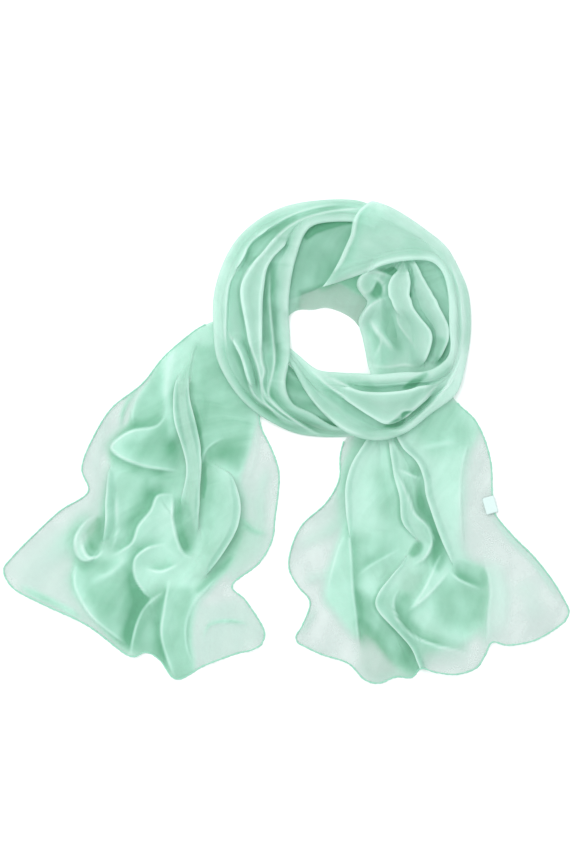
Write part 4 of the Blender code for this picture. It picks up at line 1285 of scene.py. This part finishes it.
def cloth_of(kind):
    """The scarf's chiffon, made once for each kind of stretch."""
    if kind in bpy.data.materials:
        return bpy.data.materials[kind]
    colours = bpy.context.scene.scarf_colours
    shades = (hex_of(c) for c in (colours.thin, colours.deep, colours.mid, colours.pale))
    return chiffon(kind, *shades, colours.let_by)


# ---------------------------------------------------------------- properties
def shade(title, words, code):
    """A colour property with its default as an sRGB hex code."""
    return bpy.props.FloatVectorProperty(
        name=title, description=words, subtype="COLOR", size=3,
        min=0, max=1, default=linear(code)[:3],
    )


class ScarfSizes(bpy.types.PropertyGroup):
    """Sizes that can be changed before the pieces are built."""

    net: bpy.props.FloatProperty(
        name="Net spacing", description="Distance between the points of the cloth's net",
        default=0.0014, min=0.001, max=0.006, unit="LENGTH",
    )
    hem: bpy.props.FloatProperty(
        name="Hem radius", description="Radius of the rolled hem",
        default=0.0007, min=0.0003, max=0.002, unit="LENGTH",
    )
    label_length: bpy.props.FloatProperty(
        name="Label length", description="Length of the blank care label",
        default=0.017, min=0.01, max=0.04, unit="LENGTH",
    )
    label_width: bpy.props.FloatProperty(
        name="Label width", description="Width of the blank care label",
        default=0.012, min=0.006, max=0.03, unit="LENGTH",
    )
    camera_height: bpy.props.FloatProperty(
        name="Camera height", description="Height of the camera over the table",
        default=4.0, min=1.0, max=10.0, unit="LENGTH",
    )


class ScarfColours(bpy.types.PropertyGroup):
    """Colours and sheerness of the scarf."""

    # the colour of one ply lying alone, painted greyer for the shadow it casts on the table
    thin: shade("Thin mint", "Colour of one ply lying alone", "A5BBB3")
    # painted shade colour: recesses, gaps and the low sides of folds
    deep: shade("Deep mint", "Colour in the recesses, where many layers lie together", "6CB18F")
    mid: shade("Mint", "Colour of the cloth lying flat", "B5E3D1")
    # painted highlight colour along the folds' noses and crests
    pale: shade("Pale mint", "Colour along the folds", "E2FAF2")
    hem: shade("Hem", "Colour of the rolled hem's close stitching", "96D2B9")
    label: shade("Label", "Colour of the blank label's satin tape", "D0E5E1")
    let_by: bpy.props.FloatProperty(
        name="Let by", description="Share of the light that one ply lets by unchanged",
        default=0.58, min=0.1, max=0.95, subtype="FACTOR",
    )


# ---------------------------------------------------------------- operators
HIDDEN_PLIES = 5.0  # enough that nothing shows through the heap


class SCARF_OT_hidden_turns(bpy.types.Operator):
    """Builds the rounded heap of the turns hidden in the ring"""

    bl_idname = "scarf.hidden_turns"
    bl_label = "Hidden Turns"

    def execute(self, context):
        around, across = 260, 60
        bearing = np.radians(np.linspace(0, 360, around + 1))[:, None]
        share = np.linspace(0, 1, across)[None, :]
        toward = np.cos(bearing), np.sin(bearing)
        ring = ring_at(RING_CENTRE[0] + 100 * toward[0], RING_CENTRE[1] + 100 * toward[1])
        outer, inner = ring[1] - CORE_INSET, ring[4]
        reach = outer + (inner - outer) * share
        x = RING_CENTRE[0] + reach * toward[0]
        y = RING_CENTRE[1] + reach * toward[1]
        # layers lie like shallow steps round the ring and wander a little
        wander = 2.2 * np.sin(bearing) + 1.4 * np.sin(2 * bearing)
        steps = 0.7 * np.sin(share * 5 * math.pi + wander)
        rim = quarter_round(np.minimum(share, 1 - share) / 0.14)
        height = np.maximum(crown(x, y) - CORE_DROP + steps, 1.5) * rim + CLEAR
        points = np.stack([x, y, height], -1)
        # the last row closes the ring
        points[-1] = points[0]
        # the heap is painted in shade, a little lighter over the tops of its steps
        tone = np.broadcast_to(0.2 * steps - 0.5, height.shape)
        # the ring is about 60 mm wide and 640 mm once round
        along = np.broadcast_to(share * 60, height.shape)
        run = np.linspace(0, 640, around + 1)
        plies_and_shade = np.full(height.shape, HIDDEN_PLIES)
        item = sheet_mesh("hidden_turns", points, tone, plies_and_shade, along, run)
        item.data.materials.append(cloth_of("crepe_chiffon"))
        declare(item, "wound_core")
        return {"FINISHED"}


class SCARF_OT_ring(bpy.types.Operator):
    """Builds the turns of the ring that show: left, front, inner petals and back"""

    bl_idname = "scarf.ring"
    bl_label = "Ring Turns"

    def execute(self, context):
        # light, the second to last value, is painted: the shown turns lighter, the back turn low in
        # the opening in shade
        turns = (
            ("left_turn", "turn_left", LEFT_SECTIONS, LEFT_FOLDS, LEFT_CREASES, LEFT_AREAS,
             None, (5.0, 5.0), 3.0, 0.3, (0.4, 30, 3)),
            ("front_turn", "turn_front", FRONT_SECTIONS, FRONT_FOLDS, FRONT_CREASES, FRONT_AREAS,
             (FRONT_START, FRONT_END), (5.0, 4.0), 3.0, 0.3, (0.5, 34, 5)),
            ("inner_petals", "turn_inner", INNER_SECTIONS, INNER_FOLDS, INNER_CREASES, INNER_AREAS,
             None, (4.0, 0.0), 3.0, 0.3, (0.3, 22, 7)),
            ("back_turn", "turn_back", BACK_SECTIONS, (), BACK_CREASES, BACK_AREAS,
             (BACK_START, BACK_END), (0.0, 0.0), 2.6, -0.25, (0.5, 36, 9)),
        )
        for name, node, sections, folds, creases, areas, ends, edges, base, light, swell in turns:
            item, _ = lay(
                name, sections, folds, creases, areas, edges, crown, base, swell,
                ends=ends, bed=core_top, light=light,
            )
            item.data.materials.append(cloth_of("crepe_chiffon"))
            declare(item, node)
        return {"FINISHED"}


HEM_SWELL = 1.36  # a hem's thickest place, against its radius


class SCARF_OT_tails(bpy.types.Operator):
    """Builds both tails with their rolled hems"""

    bl_idname = "scarf.tails"
    bl_label = "Tails And Hems"

    def execute(self, context):
        radius = context.scene.scarf_sizes.hem / MM
        tails = (
            ("left_tail", "tail_left", LEFT_TAIL_SECTIONS, LEFT_TAIL_FOLDS,
             LEFT_TAIL_CREASES, LEFT_TAIL_AREAS, (LEFT_TAIL_HEAD, LEFT_TAIL_HEM), (1.0, 55, 11)),
            ("right_tail", "tail_right", RIGHT_TAIL_SECTIONS, RIGHT_TAIL_FOLDS,
             RIGHT_TAIL_CREASES, RIGHT_TAIL_AREAS, (RIGHT_TAIL_HEAD, RIGHT_TAIL_HEM), (1.0, 55, 13)),
        )
        # close stitches over the rolled edge, which take the dye a little deeper
        colour = hex_of(context.scene.scarf_colours.hem)
        hem_thread = plain("polyester_overlock_hem", colour, 0.8, 900.0, 0.0003)
        for name, node, sections, folds, creases, areas, ends, swell in tails:
            item, points = lay(
                name, sections, folds, creases, areas, (0.0, 0.0), table_top, 1.0, swell,
                ends=ends, pressed=0.42,
            )
            item.data.materials.append(cloth_of("crepe_chiffon"))
            # the hem runs down one selvedge, along the end and up the other
            skip = int(0.03 * len(points))
            edge = np.concatenate([points[skip:, 0], points[-1, 1:-1], points[skip:, -1][::-1]])
            edge[:, 2] = np.maximum(edge[:, 2], HEM_SWELL * radius)
            hem = tube(name.replace("tail", "hem"), edge, radius)
            hem.data.materials.append(hem_thread)
            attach(hem, ROOT)
            declare(item, node)
        return {"FINISHED"}


LABEL_TURN = 16  # degrees that the label lies turned on the selvedge
LABEL_THICKNESS = 0.0005  # m
LABEL_RISE = 0.0015  # m over its node, clear of the cloth under it


class SCARF_OT_label(bpy.types.Operator):
    """Builds the small blank care label on the right tail's selvedge"""

    bl_idname = "scarf.label"
    bl_label = "Care Label"

    def execute(self, context):
        sizes = context.scene.scarf_sizes
        low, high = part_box("care_label")
        middle = (low + high) / 2
        bpy.ops.object.select_all(action="DESELECT")
        place = (middle.x, middle.y, high.z + LABEL_RISE)
        bpy.ops.mesh.primitive_grid_add(
            x_subdivisions=12, y_subdivisions=16, size=1.0, location=place
        )
        item = context.object
        item.name = "care_label_tape"
        item.scale = (sizes.label_width, sizes.label_length, 1)
        item.rotation_euler = (0, 0, math.radians(LABEL_TURN))
        bpy.ops.object.transform_apply(location=False, rotation=True, scale=True)
        bpy.ops.object.transform_apply(location=True, rotation=False, scale=False)
        wall = item.modifiers.new("tape", "SOLIDIFY")
        wall.thickness, wall.offset = LABEL_THICKNESS, -1.0
        bpy.ops.object.modifier_apply(modifier=wall.name)
        bpy.ops.object.shade_smooth()
        # satin tape: a close, slightly shiny weave
        colour = hex_of(context.scene.scarf_colours.label)
        item.data.materials.append(plain("satin_label_tape", colour, 0.45, 1500.0, 0.0001))
        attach(item, ROOT)
        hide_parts("care_label")
        return {"FINISHED"}


TABLE_SIZE = 6.0  # m
LAMP_SIZE = (2.4, 2.0)  # m
LAMP_POWER = 42.0  # W
LAMP_PLACE = (-0.7, 0.9, 2.3)
SKY_COLOUR = (0.97, 0.985, 1.0, 1.0)
SKY_STRENGTH = 0.93
SENSOR = (36.0, 24.0)  # mm
EYE_PLACE = (0.003, 0.008)  # m, over the scarf's middle
VIEW_LENGTH = 0.864  # m of the table along the view's long side


class SCARF_OT_stage(bpy.types.Operator):
    """Builds the white table, the soft light and the camera over the scarf"""

    bl_idname = "scarf.stage"
    bl_label = "Stage"

    def execute(self, context):
        scene = context.scene
        bpy.ops.object.select_all(action="DESELECT")
        bpy.ops.mesh.primitive_plane_add(size=TABLE_SIZE)
        floor = context.object
        floor.name = "white_table"
        # a matt white top, which lights the cloth from below
        floor.data.materials.append(plain("white_laminate", "FCFDFD", 0.6, 60.0, 0.0, 1.0))
        world = scene.world or bpy.data.worlds.new("soft_studio")
        scene.world = world
        world.use_nodes = True
        sky = world.node_tree.nodes["Background"]
        sky.inputs["Color"].default_value = SKY_COLOUR
        sky.inputs["Strength"].default_value = SKY_STRENGTH
        lamp = bpy.data.lights.new("soft_box", "AREA")
        lamp.shape, lamp.energy = "RECTANGLE", LAMP_POWER
        lamp.size, lamp.size_y = LAMP_SIZE
        box = bpy.data.objects.new("soft_box", lamp)
        scene.collection.objects.link(box)
        box.location = LAMP_PLACE
        box.rotation_euler = (-Vector(LAMP_PLACE)).to_track_quat("-Z", "Y").to_euler()
        lens = bpy.data.cameras.new("over_the_table")
        lens.sensor_fit = "AUTO"
        lens.sensor_width, lens.sensor_height = SENSOR
        eye = bpy.data.objects.new("over_the_table", lens)
        scene.collection.objects.link(eye)
        height = scene.scarf_sizes.camera_height
        eye.location = (*EYE_PLACE, height)
        lens.lens = SENSOR[0] * height / VIEW_LENGTH
        scene.camera = eye
        scene.view_settings.view_transform = "Standard"
        # light passes many sheer layers on its way to the table
        scene.cycles.transparent_max_bounces = 48
        return {"FINISHED"}


class SCARF_PT_panel(bpy.types.Panel):
    """The scarf's pieces and settings, in the 3D view's sidebar"""

    bl_idname = "SCARF_PT_panel"
    bl_label = "Chiffon Scarf"
    bl_space_type = "VIEW_3D"
    bl_region_type = "UI"
    bl_category = "Scarf"

    def draw(self, context):
        for group in (context.scene.scarf_sizes, context.scene.scarf_colours):
            for key in group.bl_rna.properties.keys():
                if key not in ("rna_type", "name"):
                    self.layout.prop(group, key)
        for step in STEPS:
            self.layout.operator(step.bl_idname)


STEPS = (SCARF_OT_hidden_turns, SCARF_OT_ring, SCARF_OT_tails, SCARF_OT_label, SCARF_OT_stage)
CLASSES = (ScarfSizes, ScarfColours, *STEPS, SCARF_PT_panel)


def register():
    """Makes the scarf's settings, operators and panel known to Blender."""
    for item in CLASSES:
        bpy.utils.register_class(item)
    bpy.types.Scene.scarf_sizes = bpy.props.PointerProperty(type=ScarfSizes)
    bpy.types.Scene.scarf_colours = bpy.props.PointerProperty(type=ScarfColours)


def unregister():
    """Takes them away again."""
    del bpy.types.Scene.scarf_sizes
    del bpy.types.Scene.scarf_colours
    for item in reversed(CLASSES):
        bpy.utils.unregister_class(item)


def main():
    """Builds the scarf and its stage."""
    register()
    bpy.ops.scarf.hidden_turns()
    bpy.ops.scarf.ring()
    bpy.ops.scarf.tails()
    bpy.ops.scarf.label()
    bpy.ops.scarf.stage()


if __name__ == "__main__":
    main()
